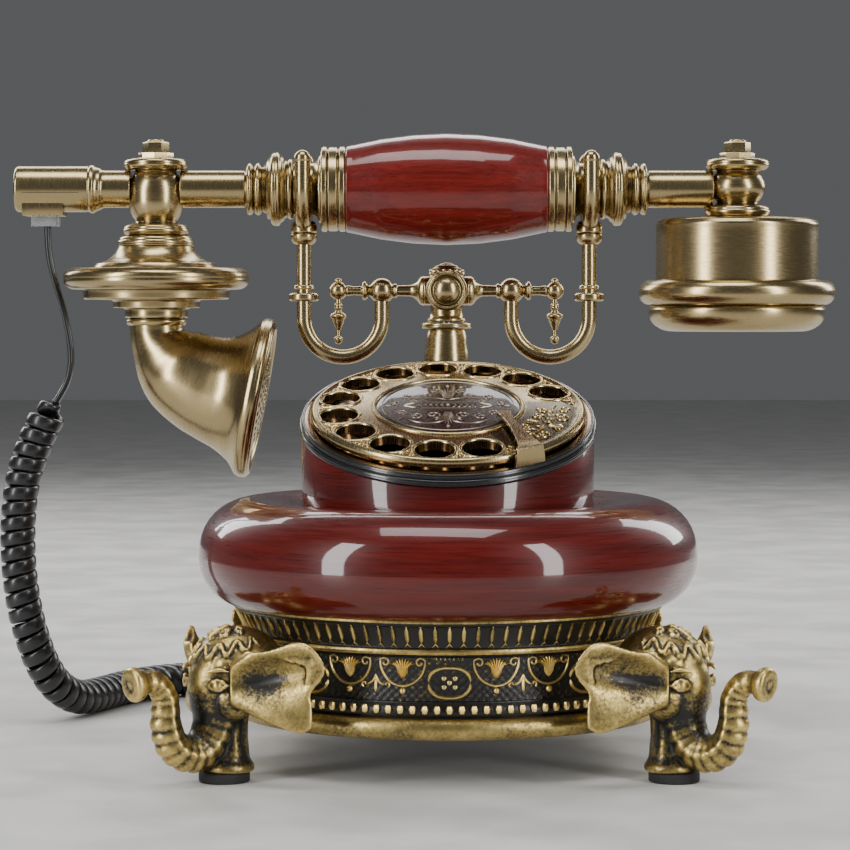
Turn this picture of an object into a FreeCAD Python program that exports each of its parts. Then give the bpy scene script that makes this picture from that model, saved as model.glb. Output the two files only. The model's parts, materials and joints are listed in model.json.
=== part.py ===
"""Rotary telephone on four elephant feet, as a parametric document of separate pieces.

Millimetres, +Z up. The origin is the middle of the table plane under the feet, on the axis of the
round base; +X runs towards the receiver and -Y towards the person dialling.
"""
import FreeCAD, Part
import math
import os
import Sketcher
from FreeCAD import Vector as V
from fcgear import involute
from fcgear.fcgear import FCWireBuilder

SIZES = {
    # base
    "pad_height": 3.5, "pad_radius": 9.0, "foot_gap": 20.0, "front_bearing": 38.0, "rear_bearing": 55.0,
    "leg_radius": 9.0, "plinth_low": 16.6, "plinth_high": 58.3, "plinth_radius": 80.0,
    "frieze_inset": 5.0, "plinth_wall": 4.0, "bottom_thick": 2.0,
    "ring_radius": 91.9, "ring_belly": 18.9, "ring_high": 95.4, "ring_wall": 4.0,
    "pedestal_radius": 54.0, "pedestal_wall": 3.5, "pedestal_mid": 121.6, "dial_tilt": 19.3,
    # dial
    "trim_step": 2.2, "trim_high": 4.0, "trim_inset": 0.1, "plate_inset": 1.0, "plate_thick": 0.8,
    "band_high": 3.8, "band_wall": 3.8, "wheel_inset": 2.2, "wheel_low": 4.35, "wheel_rim": 7.4,
    "wheel_crown": 8.5, "hole_inset": 9.8, "hole_radius": 7.2, "hole_count": 12, "hole_pitch": 24.0,
    "hole_start": -73.0, "medallion_gap": 7.2, "shaft_radius": 3.0, "gear_module": 1.0,
    "gear_teeth": 48, "pinion_teeth": 12, "gear_gap": 0.2,
    # post and cradle
    "post_inset": 3.0, "handset_z": 212.0, "arm_drop": 39.8, "post_radius": 8.2, "plunger_radius": 2.5,
    "ball_x": 25.4, "fork_gap": 6.9, "end_ball_share": 0.5588, "hook_radius": 2.9, "prong_radius": 3.1,
    # handset
    "grip_half": 39.5, "grip_radius": 21.9, "grip_end_radius": 17.0, "collar_width": 9.6,
    "collar_radius": 16.7, "neck_radius": 10.2, "ridge_radius": 14.3, "tube_radius": 7.3,
    "elbow_x": 114.0, "elbow_radius": 10.8, "flange_radius": 36.2, "flange_drop": 35.0,
    "horn_radius": 31.4, "drum_radius": 31.8, "drum_ring_radius": 38.5, "drum_drop": 55.7,
    "cap_radius": 9.0, "cap_length": 30.6,
    # cord
    "lead_radius": 1.6, "coil_radius": 7.0,
    # fits
    "running_fit": 0.05, "seat_gap": 0.3,
}


class Size(float):
    """A number worked out from the sheet, which keeps the formula that binds it there."""

    def __new__(cls, value, formula):
        made = float.__new__(cls, value)
        made.formula = formula
        return made

    def __add__(self, other):
        return Size(float(self) + float(other), f"({self.formula} + {formula_of(other)})")

    def __radd__(self, other):
        return Size(float(other) + float(self), f"({formula_of(other)} + {self.formula})")

    def __sub__(self, other):
        return Size(float(self) - float(other), f"({self.formula} - {formula_of(other)})")

    def __rsub__(self, other):
        return Size(float(other) - float(self), f"({formula_of(other)} - {self.formula})")

    def __mul__(self, other):
        return Size(float(self) * float(other), f"({self.formula} * {formula_of(other)})")

    def __rmul__(self, other):
        return Size(float(other) * float(self), f"({formula_of(other)} * {self.formula})")

    def __truediv__(self, other):
        return Size(float(self) / float(other), f"({self.formula} / {formula_of(other)})")

    def __neg__(self):
        return Size(-float(self), f"(-1 * {self.formula})")


def formula_of(number):
    return number.formula if isinstance(number, Size) else repr(float(number))


def sine(angle):
    return Size(math.sin(math.radians(angle)), f"sin({formula_of(angle)})")


def cosine(angle):
    return Size(math.cos(math.radians(angle)), f"cos({formula_of(angle)})")


def root(number):
    return Size(math.sqrt(number), f"sqrt({formula_of(number)})")


doc = FreeCAD.newDocument("rotary_telephone")
sheet = doc.addObject("Spreadsheet::Sheet", "sizes")
for row, (alias, value) in enumerate(SIZES.items(), start=1):
    sheet.set(f"A{row}", alias)
    sheet.set(f"B{row}", str(value))
    sheet.setAlias(f"B{row}", alias)
doc.recompute()
nodes = []


def cell(alias):
    return Size(SIZES[alias], f"sizes.{alias}")


def bind(thing, prop, number):
    """Give a property its size, bound to the sheet when the size comes from it."""
    if isinstance(number, Size):
        thing.setExpression(prop, number.formula)
    else:
        thing.setExpression(prop, None)
        setattr(thing, prop, number)


def place(thing, at=(0.0, 0.0, 0.0), axis=(0, 0, 1), angle=0.0):
    """Place a piece at a point, turned about an axis."""
    thing.Placement = FreeCAD.Placement(V(*[float(n) for n in at]), FreeCAD.Rotation(V(*axis), float(angle)))
    for letter, number in zip("xyz", at):
        if isinstance(number, Size):
            thing.setExpression(f"Placement.Base.{letter}", number.formula)
    if isinstance(angle, Size):
        thing.setExpression("Placement.Rotation.Angle", angle.formula)
    return thing


def node(thing, name):
    """Name a piece as one of the telephone's parts."""
    thing.Label = name
    nodes.append(thing)
    return thing


def origin_feature(body, role):
    return next(part for part in body.Origin.OriginFeatures if part.Role == role)


def pin_point(sketch, index, end, point):
    """Hold one end of a sketch line at its measured place."""
    for kind, axis, number in (("DistanceX", -2, point[0]), ("DistanceY", -1, point[1])):
        if float(number) == 0.0:
            sketch.addConstraint(Sketcher.Constraint("PointOnObject", index, end, axis))
            continue
        made = sketch.addConstraint(Sketcher.Constraint(kind, -1, 1, index, end, float(number)))
        if isinstance(number, Size):
            sketch.setExpression(f"Constraints[{made}]", number.formula)


def outline(sketch, points):
    """Draw a closed outline: (x, y) is a corner, and (x, y, turn) is reached by an arc.

    turn is the tangent of a quarter of the arc's angle, positive when it runs anticlockwise.
    """
    starts, ends, arcs = [], [], []
    for here, there in zip(points, points[1:] + points[:1]):
        a, b = V(float(here[0]), float(here[1])), V(float(there[0]), float(there[1]))
        turn = there[2] if len(there) > 2 else 0.0
        if turn == 0.0:
            index = sketch.addGeometry(Part.LineSegment(a, b), False)
            starts.append((index, 1))
            ends.append((index, 2))
            continue
        across = b - a
        middle = (a + b) * 0.5 + V(across.y, -across.x) * 0.5 * turn
        index = sketch.addGeometry(Part.Arc(a, middle, b), False)
        starts.append((index, 1 if turn > 0 else 2))
        ends.append((index, 2 if turn > 0 else 1))
        run, rise = there[0] - here[0], there[1] - here[1]
        arcs.append((index, root(run * run + rise * rise) * ((1 + turn * turn) / (4 * abs(turn)))))
    for (index, end), (follower, start) in zip(ends, starts[1:] + starts[:1]):
        sketch.addConstraint(Sketcher.Constraint("Coincident", index, end, follower, start))
    for (index, start), point in zip(starts, points):
        pin_point(sketch, index, start, point)
    for index, radius in arcs:
        made = sketch.addConstraint(Sketcher.Constraint("Radius", index, float(radius)))
        sketch.setExpression(f"Constraints[{made}]", radius.formula)


def dome_turn(radius, rise):
    """The turn of an arc that ends square to the axis, so that a dome has no point or dimple."""
    return math.tan(math.atan2(rise, radius) / 2)


def new_sketch(body, name, role="XZ_Plane"):
    sketch = body.newObject("Sketcher::SketchObject", name)
    sketch.AttachmentSupport = [(origin_feature(body, role), "")]
    sketch.MapMode = "FlatFace"
    return sketch


def turned(name, points, at=(0.0, 0.0, 0.0), axis=(0, 0, 1), angle=0.0):
    """A piece turned on a lathe: an outline of (radius, height) spun about its own Z axis."""
    body = doc.addObject("PartDesign::Body", name)
    sketch = new_sketch(body, name + "_outline")
    outline(sketch, points)
    spin = body.newObject("PartDesign::Revolution", name + "_spin")
    spin.Profile = sketch
    spin.ReferenceAxis = (sketch, ["V_Axis"])
    spin.Angle = 360.0
    body.Tip = spin
    return place(body, at, axis, angle)


def padded_out(name, points, height, at=(0.0, 0.0, 0.0), axis=(0, 0, 1), angle=0.0):
    """A flat piece: an outline of (x, y) raised along its own Z axis."""
    body = doc.addObject("PartDesign::Body", name)
    sketch = new_sketch(body, name + "_outline", "XY_Plane")
    outline(sketch, points)
    pad = body.newObject("PartDesign::Pad", name + "_pad")
    pad.Profile = sketch
    bind(pad, "Length", height)
    body.Tip = pad
    return place(body, at, axis, angle)


def primitive(kind, name, sizes, at=(0.0, 0.0, 0.0), axis=(0, 0, 1), angle=0.0):
    made = doc.addObject(kind, name)
    for prop, number in sizes.items():
        bind(made, prop, number)
    return place(made, at, axis, angle)


def rod(name, radius, length, at=(0.0, 0.0, 0.0), axis=(0, 0, 1), angle=0.0):
    return primitive("Part::Cylinder", name, {"Radius": radius, "Height": length}, at, axis, angle)


def ball(name, radius, at):
    return primitive("Part::Sphere", name, {"Radius": radius}, at)


def block(name, size, at=(0.0, 0.0, 0.0), axis=(0, 0, 1), angle=0.0):
    length, width, height = size
    return primitive("Part::Box", name, {"Length": length, "Width": width, "Height": height}, at, axis, angle)


def joined(name, *pieces):
    made = doc.addObject("Part::MultiFuse", name)
    made.Shapes = list(pieces)
    return made


def cut(name, base, *tools):
    made = doc.addObject("Part::Cut", name)
    made.Base = base
    made.Tool = tools[0] if len(tools) == 1 else joined(name + "_tools", *tools)
    return made


def common(name, *pieces):
    made = doc.addObject("Part::MultiCommon", name)
    made.Shapes = list(pieces)
    return made


def lofted(name, stations):
    """A round tube of changing radius through stations of (centre, direction, radius)."""
    made = doc.addObject("Part::Loft", name)
    rings = []
    for index, (centre, direction, radius) in enumerate(stations):
        ring = doc.addObject("Part::Circle", f"{name}_ring_{index}")
        bind(ring, "Radius", radius)
        turn = FreeCAD.Rotation(V(0, 0, 1), V(*direction))
        ring.Placement = FreeCAD.Placement(V(*[float(n) for n in centre]), turn)
        for letter, number in zip("xyz", centre):
            if isinstance(number, Size):
                ring.setExpression(f"Placement.Base.{letter}", number.formula)
        rings.append(ring)
    made.Sections = rings
    made.Solid = True
    made.Ruled = False
    return made


def solid_piece(name, shape):
    """A piece whose solid is worked out here from the sheet's sizes."""
    made = doc.addObject("Part::Feature", name)
    made.Shape = shape
    return made


def route_wire(points):
    """Straight runs joined by tangent arcs, each arc as large as its two runs allow."""
    corners = [V(*point) for point in points]
    edges, radii, start = [], [], corners[0]
    for before, corner, after in zip(corners, corners[1:], corners[2:]):
        back, ahead = before - corner, after - corner
        reach = 0.45 * min(back.Length, ahead.Length)
        back.normalize()
        ahead.normalize()
        turn = math.pi - back.getAngle(ahead)
        radius = reach / math.tan(turn / 2)
        enter, leave = corner + back * reach, corner + ahead * reach
        inward = (back + ahead).normalize()
        middle = corner + inward * (radius / math.cos(turn / 2) - radius)
        edges.append(Part.LineSegment(start, enter).toShape())
        edges.append(Part.Arc(enter, middle, leave).toShape())
        radii.append(radius)
        start = leave
    edges.append(Part.LineSegment(start, corners[-1]).toShape())
    return Part.Wire(edges), radii


def round_tube(wire, radius):
    """A solid of one round section carried along a wire."""
    start = wire.Vertexes[0].Point
    along = wire.Edges[0].tangentAt(wire.Edges[0].FirstParameter)
    section = Part.Wire(Part.Circle(start, along, radius).toShape())
    tube = wire.makePipeShell([section], True, True)
    print(f"tube volume over section times length: {tube.Volume / (math.pi * radius ** 2 * wire.Length):.4f}")
    return tube


FRONT = (1, 0, 0)
TILT = cell("dial_tilt")
MID = cell("pedestal_mid")
FOOT_REACH = cell("plinth_radius") + cell("foot_gap")
FRIEZE = cell("plinth_radius") - cell("frieze_inset")
HANDSET_Y = cell("ring_radius") - cell("ring_belly") - cell("post_inset")
HANDSET_Z = cell("handset_z")
ARM_Z = HANDSET_Z - cell("arm_drop")
FORK_X = cell("grip_half") + cell("collar_width") + cell("fork_gap")
END_BALL_X = cell("ball_x") + (FORK_X - cell("ball_x")) * cell("end_ball_share")
PLATE_RADIUS = cell("pedestal_radius") - cell("plate_inset")
WHEEL_RADIUS = PLATE_RADIUS - cell("wheel_inset")
HOLE_CIRCLE = WHEEL_RADIUS - cell("hole_inset")
MEDALLION_RADIUS = HOLE_CIRCLE - cell("hole_radius") - cell("medallion_gap")
LEFT_ELBOW_LOW = HANDSET_Z - 18.4
RIGHT_ELBOW_LOW = HANDSET_Z - 11.0


def dial_place(thing, up=0.0, right=0.0, back=0.0):
    """Place a piece in the dial's slanted frame, a height above the pedestal's slanted top."""
    y = back * cosine(TILT) - up * sine(TILT)
    z = MID + back * sine(TILT) + up * cosine(TILT)
    return place(thing, (right, y, z), FRONT, TILT)


# ---------------------------------------------------------------- base
JACK_SIZE = (31.0, 20.0, 14.0)


def jack_corner():
    """The low left inner corner of the rear jack, which stands a little proud of the frieze."""
    return -0.5 * JACK_SIZE[0], FRIEZE + 0.2 - JACK_SIZE[1], cell("plinth_low") + 8.4


def make_plinth():
    low, high = cell("plinth_low"), cell("plinth_high")
    rim, frieze, wall = cell("plinth_radius"), FRIEZE, cell("plinth_wall")
    inner = frieze - wall
    shell = turned("plinth_shell", [
        (inner, low), (rim - 2.0, low), (rim - 2.0, low + 7.2, 0.6), (frieze + 1.0, low + 7.4),
        (frieze + 1.0, low + 11.4, 0.3), (frieze, low + 12.6), (frieze - 0.6, low + 21.0, -0.06),
        (frieze, low + 29.0, -0.06), (frieze + 1.6, low + 29.4), (frieze + 1.6, low + 31.2, 0.4),
        (frieze + 0.4, low + 31.6), (rim - 1.6, high - 2.6, -0.12), (rim - 0.3, high, 0.5),
        (40.0, high), (40.0, high - wall), (inner - 1.0, high - wall), (inner, high - wall - 6.0)])
    fit = 0.2
    x, y, z = jack_corner()
    length, width, height = JACK_SIZE
    hole_size = (length + 2 * fit, width + 4.0, height + 2 * fit)
    jack_hole = block("jack_hole", hole_size, (x - fit, y + 2.8, z - fit))
    post_hole = rod("post_screw_hole", 2.0, 20.0, (0.0, HANDSET_Y, high - 14.3))
    return node(cut("plinth_casting", shell, jack_hole, post_hole), "plinth_casting")


def make_foot(name, bearing):
    """An elephant's head and trunk that stands outwards from the plinth, turned to its bearing."""
    reach, pad = FOOT_REACH, cell("pad_height")
    skull = primitive("Part::Ellipsoid", name + "_skull", {"Radius1": 15.0, "Radius2": 19.0, "Radius3": 13.5},
                      (reach - 4.0, 0.0, 39.0), (0, 1, 0), 22.0)
    cheek = ball(name + "_cheek", 12.0, (reach, 0.0, 32.0))
    leg = primitive("Part::Cone", name + "_leg",
                    {"Radius1": cell("leg_radius"), "Radius2": cell("leg_radius") - 0.5, "Height": 28.0},
                    (reach - 1.5, 0.0, pad))
    trunk = lofted(name + "_trunk", [
        ((reach + 4.0, 0.0, 34.0), (0.0, 0, -1.0), 9.5), ((reach + 3.6, 0.0, 22.0), (0.0, 0, -1.0), 8.4),
        ((reach + 8.0, 0.0, 13.3), (0.7, 0, -0.7), 7.4), ((reach + 14.6, 0.0, 11.0), (1.0, 0, 0.0), 7.0),
        ((reach + 21.4, 0.0, 14.4), (0.7, 0, 0.7), 6.3), ((reach + 24.3, 0.0, 22.0), (0.0, 0, 1.0), 6.0),
        ((reach + 24.6, 0.0, 31.0), (0.15, 0, 1.0), 5.0), ((reach + 28.5, 0.0, 36.6), (0.85, 0, 0.5), 4.8),
        ((reach + 35.0, 0.0, 37.2), (1.0, 0, -0.2), 4.6)])
    tip = ball(name + "_tip", 5.2, (reach + 35.4, 0.0, 37.2))
    ears = []
    for side in (-1, 1):
        ears.append(primitive("Part::Ellipsoid", f"{name}_ear_{side + 1}",
                              {"Radius1": 15.6, "Radius2": 3.2, "Radius3": 19.5},
                              (reach - 3.5, side * 26.0, 35.6), (0, 0, 1), side * 40.0))
    whole = joined(name + "_whole", skull, cheek, leg, trunk, tip, *ears)
    core = rod(name + "_core", cell("plinth_radius") + 0.6, 120.0, (0.0, 0.0, -10.0))
    floor = block(name + "_floor", (200.0, 200.0, 40.0), (0.0, -100.0, pad - 40.0))
    shaped = cut(name, whole, core, floor)
    return node(place(shaped, (0.0, 0.0, 0.0), (0, 0, 1), bearing), name)


def make_feet():
    front, rear = cell("front_bearing"), cell("rear_bearing")
    corners = {"rear_right": rear, "rear_left": 180 - rear, "front_left": 180 + front,
               "front_right": 360 - front}
    pads = []
    for corner, turn in corners.items():
        make_foot("elephant_foot_" + corner, turn)
        x, y = FOOT_REACH * cosine(turn), FOOT_REACH * sine(turn)
        pads.append(rod("pad_" + corner, cell("pad_radius"), cell("pad_height"), (x, y, 0.0)))
    node(joined("foot_pads", *pads), "foot_pads")


def make_bottom():
    """The closing plate under the plinth, its screws, and what is fixed on it."""
    low, inner, thick = cell("plinth_low"), FRIEZE - cell("plinth_wall"), cell("bottom_thick")
    top = low + thick
    plate = rod("bottom_blank", inner - 0.1, thick, (0.0, 0.0, low))
    screw_circle, screw_radius, drill_radius = inner - 7.0, 1.6, 1.7
    boss_height = cell("plinth_high") - cell("plinth_wall") - top
    bosses, holes, screws = [], [], []
    for index in range(4):
        turn = math.radians(45.0 + 90.0 * index)
        x, y = screw_circle * math.cos(turn), screw_circle * math.sin(turn)
        holes.append(rod(f"bottom_hole_{index}", drill_radius, 4.0, (x, y, low - 1.0)))
        head = rod(f"screw_head_{index}", 3.0, 1.6, (x, y, low - 1.6))
        shank = rod(f"screw_shank_{index}", screw_radius, 12.0, (x, y, low))
        screws.append(joined(f"screw_{index}", head, shank))
        post = rod(f"boss_post_{index}", 4.0, boss_height, (x, y, top))
        bore = rod(f"boss_bore_{index}", screw_radius, 10.2, (x, y, top))
        bosses.append(cut(f"boss_{index}", post, bore))
    node(cut("bottom_plate", plate, *holes), "bottom_plate")
    node(joined("bottom_screws", *screws), "bottom_screws")
    node(joined("screw_bosses", *bosses), "screw_bosses")
    stand_high, board_thick = 4.0, 1.6
    corners = ((-26.0, -30.0), (26.0, -30.0), (-26.0, 12.0), (26.0, 12.0))
    stands = [rod(f"board_stand_{i}", 2.0, stand_high, (x, y, top)) for i, (x, y) in enumerate(corners)]
    board = block("board_blank", (62.0, 52.0, board_thick), (-31.0, -35.0, top + stand_high))
    parts = (((14.0, 8.0, 3.0), (-20.0, -12.0)), ((8.0, 8.0, 9.0), (8.0, -28.0)),
             ((10.0, 16.0, 2.0), (10.0, -8.0)))
    chips = [block(f"chip_{i}", size, (x, y, top + stand_high + board_thick))
             for i, (size, (x, y)) in enumerate(parts)]
    node(joined("circuit_board", board, *stands, *chips), "circuit_board")
    ringer = turned("ringer", [
        (0.0, 0.0), (13.0, 0.0), (13.0, 6.0), (11.5, 7.5, 0.4), (3.0, 7.5), (3.0, 6.5), (0.0, 6.5)],
        (0.0, 36.0, top))
    node(ringer, "ringer")


def make_jacks():
    """Two modular sockets in one block: the line's own is open, and the other holds the cord's plug."""
    x, y, z = jack_corner()
    blank = block("jack_blank", JACK_SIZE, (x, y, z))
    handset_socket = block("handset_socket", (9.6, 14.0, 8.4), (x + 2.7, y + 6.8, z + 3.0))
    line_socket = block("line_socket", (11.0, 14.0, 8.4), (x + 17.5, y + 6.8, z + 3.0))
    return node(cut("rear_jack", blank, handset_socket, line_socket), "rear_jack")


def make_ring_body():
    """The lacquered ring: a rounded trough, open below, that fits round the pedestal."""
    outer, belly, wall = cell("ring_radius"), cell("ring_belly"), cell("ring_wall")
    low, high = cell("plinth_high"), cell("ring_high")
    middle_r, middle_z = outer - belly, high - belly
    inner = cell("pedestal_radius") + 0.1
    foot = middle_r + root(belly * belly - (middle_z - low) * (middle_z - low) + 0.01)
    shell = turned("ring_shell", [
        (foot, low), (outer, middle_z, 0.31), (middle_r, high, 0.4142), (inner, high - 4.8, 0.13),
        (inner, low), (inner + wall, low), (inner + wall, high - 4.8 - wall), (middle_r, high - wall, -0.13),
        (outer - wall, middle_z, -0.4142), (foot - wall, low, -0.31)])
    hole = rod("ring_post_hole", cell("plunger_radius") + 1.2, 30.0, (0.0, HANDSET_Y, 80.0))
    return node(cut("ring_body", shell, hole), "ring_body")


def make_pedestal():
    """The tube that carries the dial, its top cut on a slant."""
    radius, wall, low = cell("pedestal_radius"), cell("pedestal_wall"), cell("plinth_high")
    tube = rod("pedestal_tube", radius, 100.0, (0.0, 0.0, low))
    bore = rod("pedestal_bore", radius - wall, 120.0, (0.0, 0.0, low - 5.0))
    above = dial_place(block("pedestal_above", (200.0, 200.0, 80.0)), 0.0, -100.0, -100.0)
    return node(cut("pedestal", tube, bore, above), "pedestal")


# ---------------------------------------------------------------- dial
def slanted_slab(name, radius, low, high):
    """An upright round column's slice between two planes that slant as the dial does."""
    column = rod(name + "_column", radius, 160.0, (0.0, 0.0, 30.0))
    slab = dial_place(block(name + "_slab", (200.0, 200.0, high - low)), low, -100.0, -100.0)
    return common(name, column, slab)


STOP_WIDE = 12.6
STOP_BEARING = math.radians(-57.6)


def stop_ends():
    """The finger stop's tip over the medallion, and its fold outside the wheel, in the dial's own plane."""
    tip_reach, tip_bearing = float(MEDALLION_RADIUS) - 3.8, math.radians(-28.6)
    fold_reach = float(WHEEL_RADIUS) + 4.1
    tip = V(tip_reach * math.cos(tip_bearing), tip_reach * math.sin(tip_bearing), 0.0)
    return tip, V(fold_reach * math.cos(STOP_BEARING), fold_reach * math.sin(STOP_BEARING), 0.0)


def at_stop(thing, out, aside, up):
    """Place a piece in the dial's slanted frame, turned to face outwards where the finger stop stands."""
    turn = FreeCAD.Rotation(V(0, 0, 1), math.degrees(STOP_BEARING))
    local = FreeCAD.Placement(turn.multVec(V(out, aside, 0.0)) + V(0, 0, up), turn)
    slant = FreeCAD.Placement(V(0, 0, float(MID)), FreeCAD.Rotation(V(1, 0, 0), float(TILT)))
    thing.Placement = slant.multiply(local)
    return thing


def stop_blade(low, thick):
    """The finger stop's blade: a flat strip, narrow over the holes and wide at the fold."""
    tip, fold = stop_ends()
    length = (fold - tip).Length
    along = (fold - tip).normalize()
    aside = V(along.y, -along.x, 0.0)
    right = [(0.0, 2.5), (0.12 * length, 1.9), (0.40 * length, 1.9), (0.82 * length, 3.6), (length, 4.4)]
    ends = [tip + along * step + aside * half for step, half in right]
    ends += [tip + along * step - aside * half for step, half in reversed(right)]
    return dial_place(padded_out("stop_blade", [(p.x, p.y) for p in ends], thick), low)


def make_finger_stop():
    """A blade over the wheel, folded down outside it to stand on the pedestal's edge."""
    radius = cell("pedestal_radius")
    blade_low, blade_thick = cell("wheel_rim") + 2.0, 1.5
    blade = stop_blade(blade_low, blade_thick)
    leg_blank = at_stop(block("stop_leg_blank", (16.0, STOP_WIDE, blade_low + blade_thick - 0.1)),
                        float(radius) - 8.0, -0.5 * STOP_WIDE, 0.1)
    outer = rod("stop_outer", radius + 1.2, 160.0, (0.0, 0.0, 30.0))
    hollow = rod("stop_hollow", PLATE_RADIUS, 200.0, (0.0, 0.0, 10.0))
    leg = cut("stop_leg", common("stop_leg_bent", leg_blank, outer), hollow)
    return node(joined("finger_stop", blade, leg), "finger_stop")


def make_trim_ring():
    """The black moulded ring in two steps, with a gap that the finger stop's leg fills."""
    radius, step, high = cell("pedestal_radius"), cell("trim_step"), cell("trim_high")
    lower = slanted_slab("trim_lower", radius + 0.6, 0.0, step)
    upper = slanted_slab("trim_upper", radius - cell("trim_inset"), step - 0.01, high)
    bore = rod("trim_bore", PLATE_RADIUS, 160.0, (0.0, 0.0, 30.0))
    gap = at_stop(block("trim_gap", (20.0, STOP_WIDE + 0.2, 30.0)), float(radius) - 10.0,
                  -0.5 * STOP_WIDE - 0.1, -5.0)
    return node(cut("dial_trim_ring", joined("trim_steps", lower, upper), bore, gap), "dial_trim_ring")


def make_number_plate():
    """The thin slanted plate that carries the numbers, and the band that stands round it in the trim."""
    radius, wall = PLATE_RADIUS, cell("band_wall")
    seat_gap = 0.05
    disc = slanted_slab("plate_disc", radius - wall - seat_gap, 0.0, cell("plate_thick"))
    shaft_bore = dial_place(rod("plate_bore", cell("shaft_radius") + cell("running_fit"), 40.0), -20.0)
    ring = slanted_slab("band_ring", radius, 0.0, cell("band_high"))
    ring_bore = rod("band_bore", radius - wall, 160.0, (0.0, 0.0, 30.0))
    plate = cut("plate_bored", disc, shaft_bore)
    return node(joined("number_plate", plate, cut("number_band", ring, ring_bore)), "number_plate")


def make_finger_wheel():
    """The wheel with its ring of finger holes, each with a raised lip."""
    radius, low, rim, crown = WHEEL_RADIUS, cell("wheel_low"), cell("wheel_rim"), cell("wheel_crown")
    medal = MEDALLION_RADIUS + 1.6
    body = turned("finger_wheel", [
        (cell("shaft_radius"), low), (radius - 0.6, low), (radius, low + 0.6, 0.4), (radius, rim - 1.0),
        (radius - 2.0, rim, 0.4), (radius - 3.4, rim - 0.4), (medal, crown - 0.5, 0.02), (medal, crown - 1.6),
        (cell("shaft_radius"), crown - 1.6)])
    holes = new_sketch(body, "finger_hole", "XY_Plane")
    start = cell("hole_start")
    x, y = HOLE_CIRCLE * cosine(start), HOLE_CIRCLE * sine(start)
    holes.addGeometry(Part.Circle(V(float(x), float(y)), V(0, 0, 1), SIZES["hole_radius"]), False)
    pin_point(holes, 0, 3, (x, y))
    made = holes.addConstraint(Sketcher.Constraint("Radius", 0, SIZES["hole_radius"]))
    holes.setExpression(f"Constraints[{made}]", "sizes.hole_radius")
    pocket = body.newObject("PartDesign::Pocket", "finger_hole_cut")
    pocket.Profile = holes
    pocket.Type = "ThroughAll"
    pocket.Midplane = True
    body.Tip = pocket
    doc.recompute()
    ring = body.newObject("PartDesign::PolarPattern", "finger_holes")
    ring.Originals = [pocket]
    ring.Axis = (holes, ["N_Axis"])
    bind(ring, "Angle", cell("hole_pitch") * (cell("hole_count") - 1))
    ring.Reversed = True
    ring.Occurrences = int(SIZES["hole_count"])
    body.Tip = ring
    return node(dial_place(body), "finger_wheel")


def make_medallion():
    crown, radius = cell("wheel_crown"), MEDALLION_RADIUS
    floor = crown - 1.6
    disc = turned("medallion", [
        (0.0, floor), (radius, floor), (radius, crown - 0.5), (radius - 1.0, crown - 0.2),
        (0.0, crown + 0.1, dome_turn(radius - 1.0, 0.3))])
    node(dial_place(disc), "medallion")
    rim = turned("medallion_rim", [(radius, floor), (radius + 1.6, floor), (radius + 1.6, crown - 0.3),
                                   (radius, crown - 0.3, 0.6)])
    node(dial_place(rim), "medallion_rim")


def gear_shape(teeth, module, low, height, bore):
    """An involute spur gear with a round bore, between two heights on its own axis."""
    wire = FCWireBuilder()
    involute.CreateExternalGear(wire, module, teeth, 20.0, split=True)
    face = Part.Face(Part.Wire([edge.toShape() for edge in wire.wire]))
    blank = face.extrude(V(0, 0, height))
    blank.translate(V(0, 0, low))
    return blank.cut(Part.makeCylinder(bore, height + 2.0, V(0, 0, low - 1.0)))


FRAME_LOW = -8.0
GEAR_LOW = -12.5


def gear_distance():
    teeth = cell("gear_teeth") + cell("pinion_teeth")
    return cell("gear_module") * teeth * 0.5 + cell("gear_gap")


def make_dial_works():
    """What turns under the number plate: shaft, main gear, governor, and the frame that carries them."""
    shaft, fit, thick = cell("shaft_radius"), cell("running_fit"), 2.0
    far = gear_distance()
    edge = cell("pedestal_radius") - cell("pedestal_wall") - 6.5
    plate = turned("frame_blank", [(shaft + fit, FRAME_LOW), (edge, FRAME_LOW), (edge, FRAME_LOW + thick),
                                   (shaft + fit, FRAME_LOW + thick)])
    dial_place(plate)
    pillars = []
    pillar_low, pillar_circle = FRAME_LOW + thick - 0.1, edge - 4.0
    for index in range(3):
        turn = math.radians(60.0 + 120.0 * index)
        pillar = rod(f"frame_pillar_{index}", 2.5, -pillar_low)
        pillars.append(dial_place(pillar, pillar_low, pillar_circle * math.cos(turn),
                                  pillar_circle * math.sin(turn)))
    pinion_bore = dial_place(rod("frame_pinion_bore", 1.5 + fit, 20.0), FRAME_LOW - 5.0, far)
    node(cut("dial_frame", joined("frame_plates", plate, *pillars), pinion_bore), "dial_frame")
    shaft_low, shaft_high = GEAR_LOW - 3.0, cell("wheel_crown") - 1.6
    shaft_body = turned("dial_shaft", [
        (0.0, shaft_low), (shaft, shaft_low), (shaft, shaft_high), (0.0, shaft_high)])
    node(dial_place(shaft_body), "dial_shaft")
    module = SIZES["gear_module"]
    gear = gear_shape(SIZES["gear_teeth"], module, GEAR_LOW, 3.0, SIZES["shaft_radius"])
    node(dial_place(solid_piece("main_gear", gear)), "main_gear")
    teeth = SIZES["pinion_teeth"]
    pinion = solid_piece("pinion", gear_shape(teeth, module, GEAR_LOW - 0.5, 4.0, 1.5))
    half_tooth = 180.0 / teeth
    pinion.Placement = FreeCAD.Placement(V(0, 0, 0), FreeCAD.Rotation(V(0, 0, 1), 180.0 + half_tooth))
    spindle = rod("governor_rod", 1.5, 16.0, (0.0, 0.0, GEAR_LOW - 8.0))
    weights = turned("governor_weights", [
        (1.4, GEAR_LOW - 7.0), (7.0, GEAR_LOW - 7.0), (8.5, GEAR_LOW - 5.5, 0.3), (7.0, GEAR_LOW - 4.0, 0.3),
        (1.4, GEAR_LOW - 4.0)])
    node(dial_place(joined("governor_spindle", pinion, spindle, weights), 0.0, far), "governor_spindle")
    node(dial_place(solid_piece("return_spring", spiral_spring(shaft + 0.6))), "return_spring")


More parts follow.
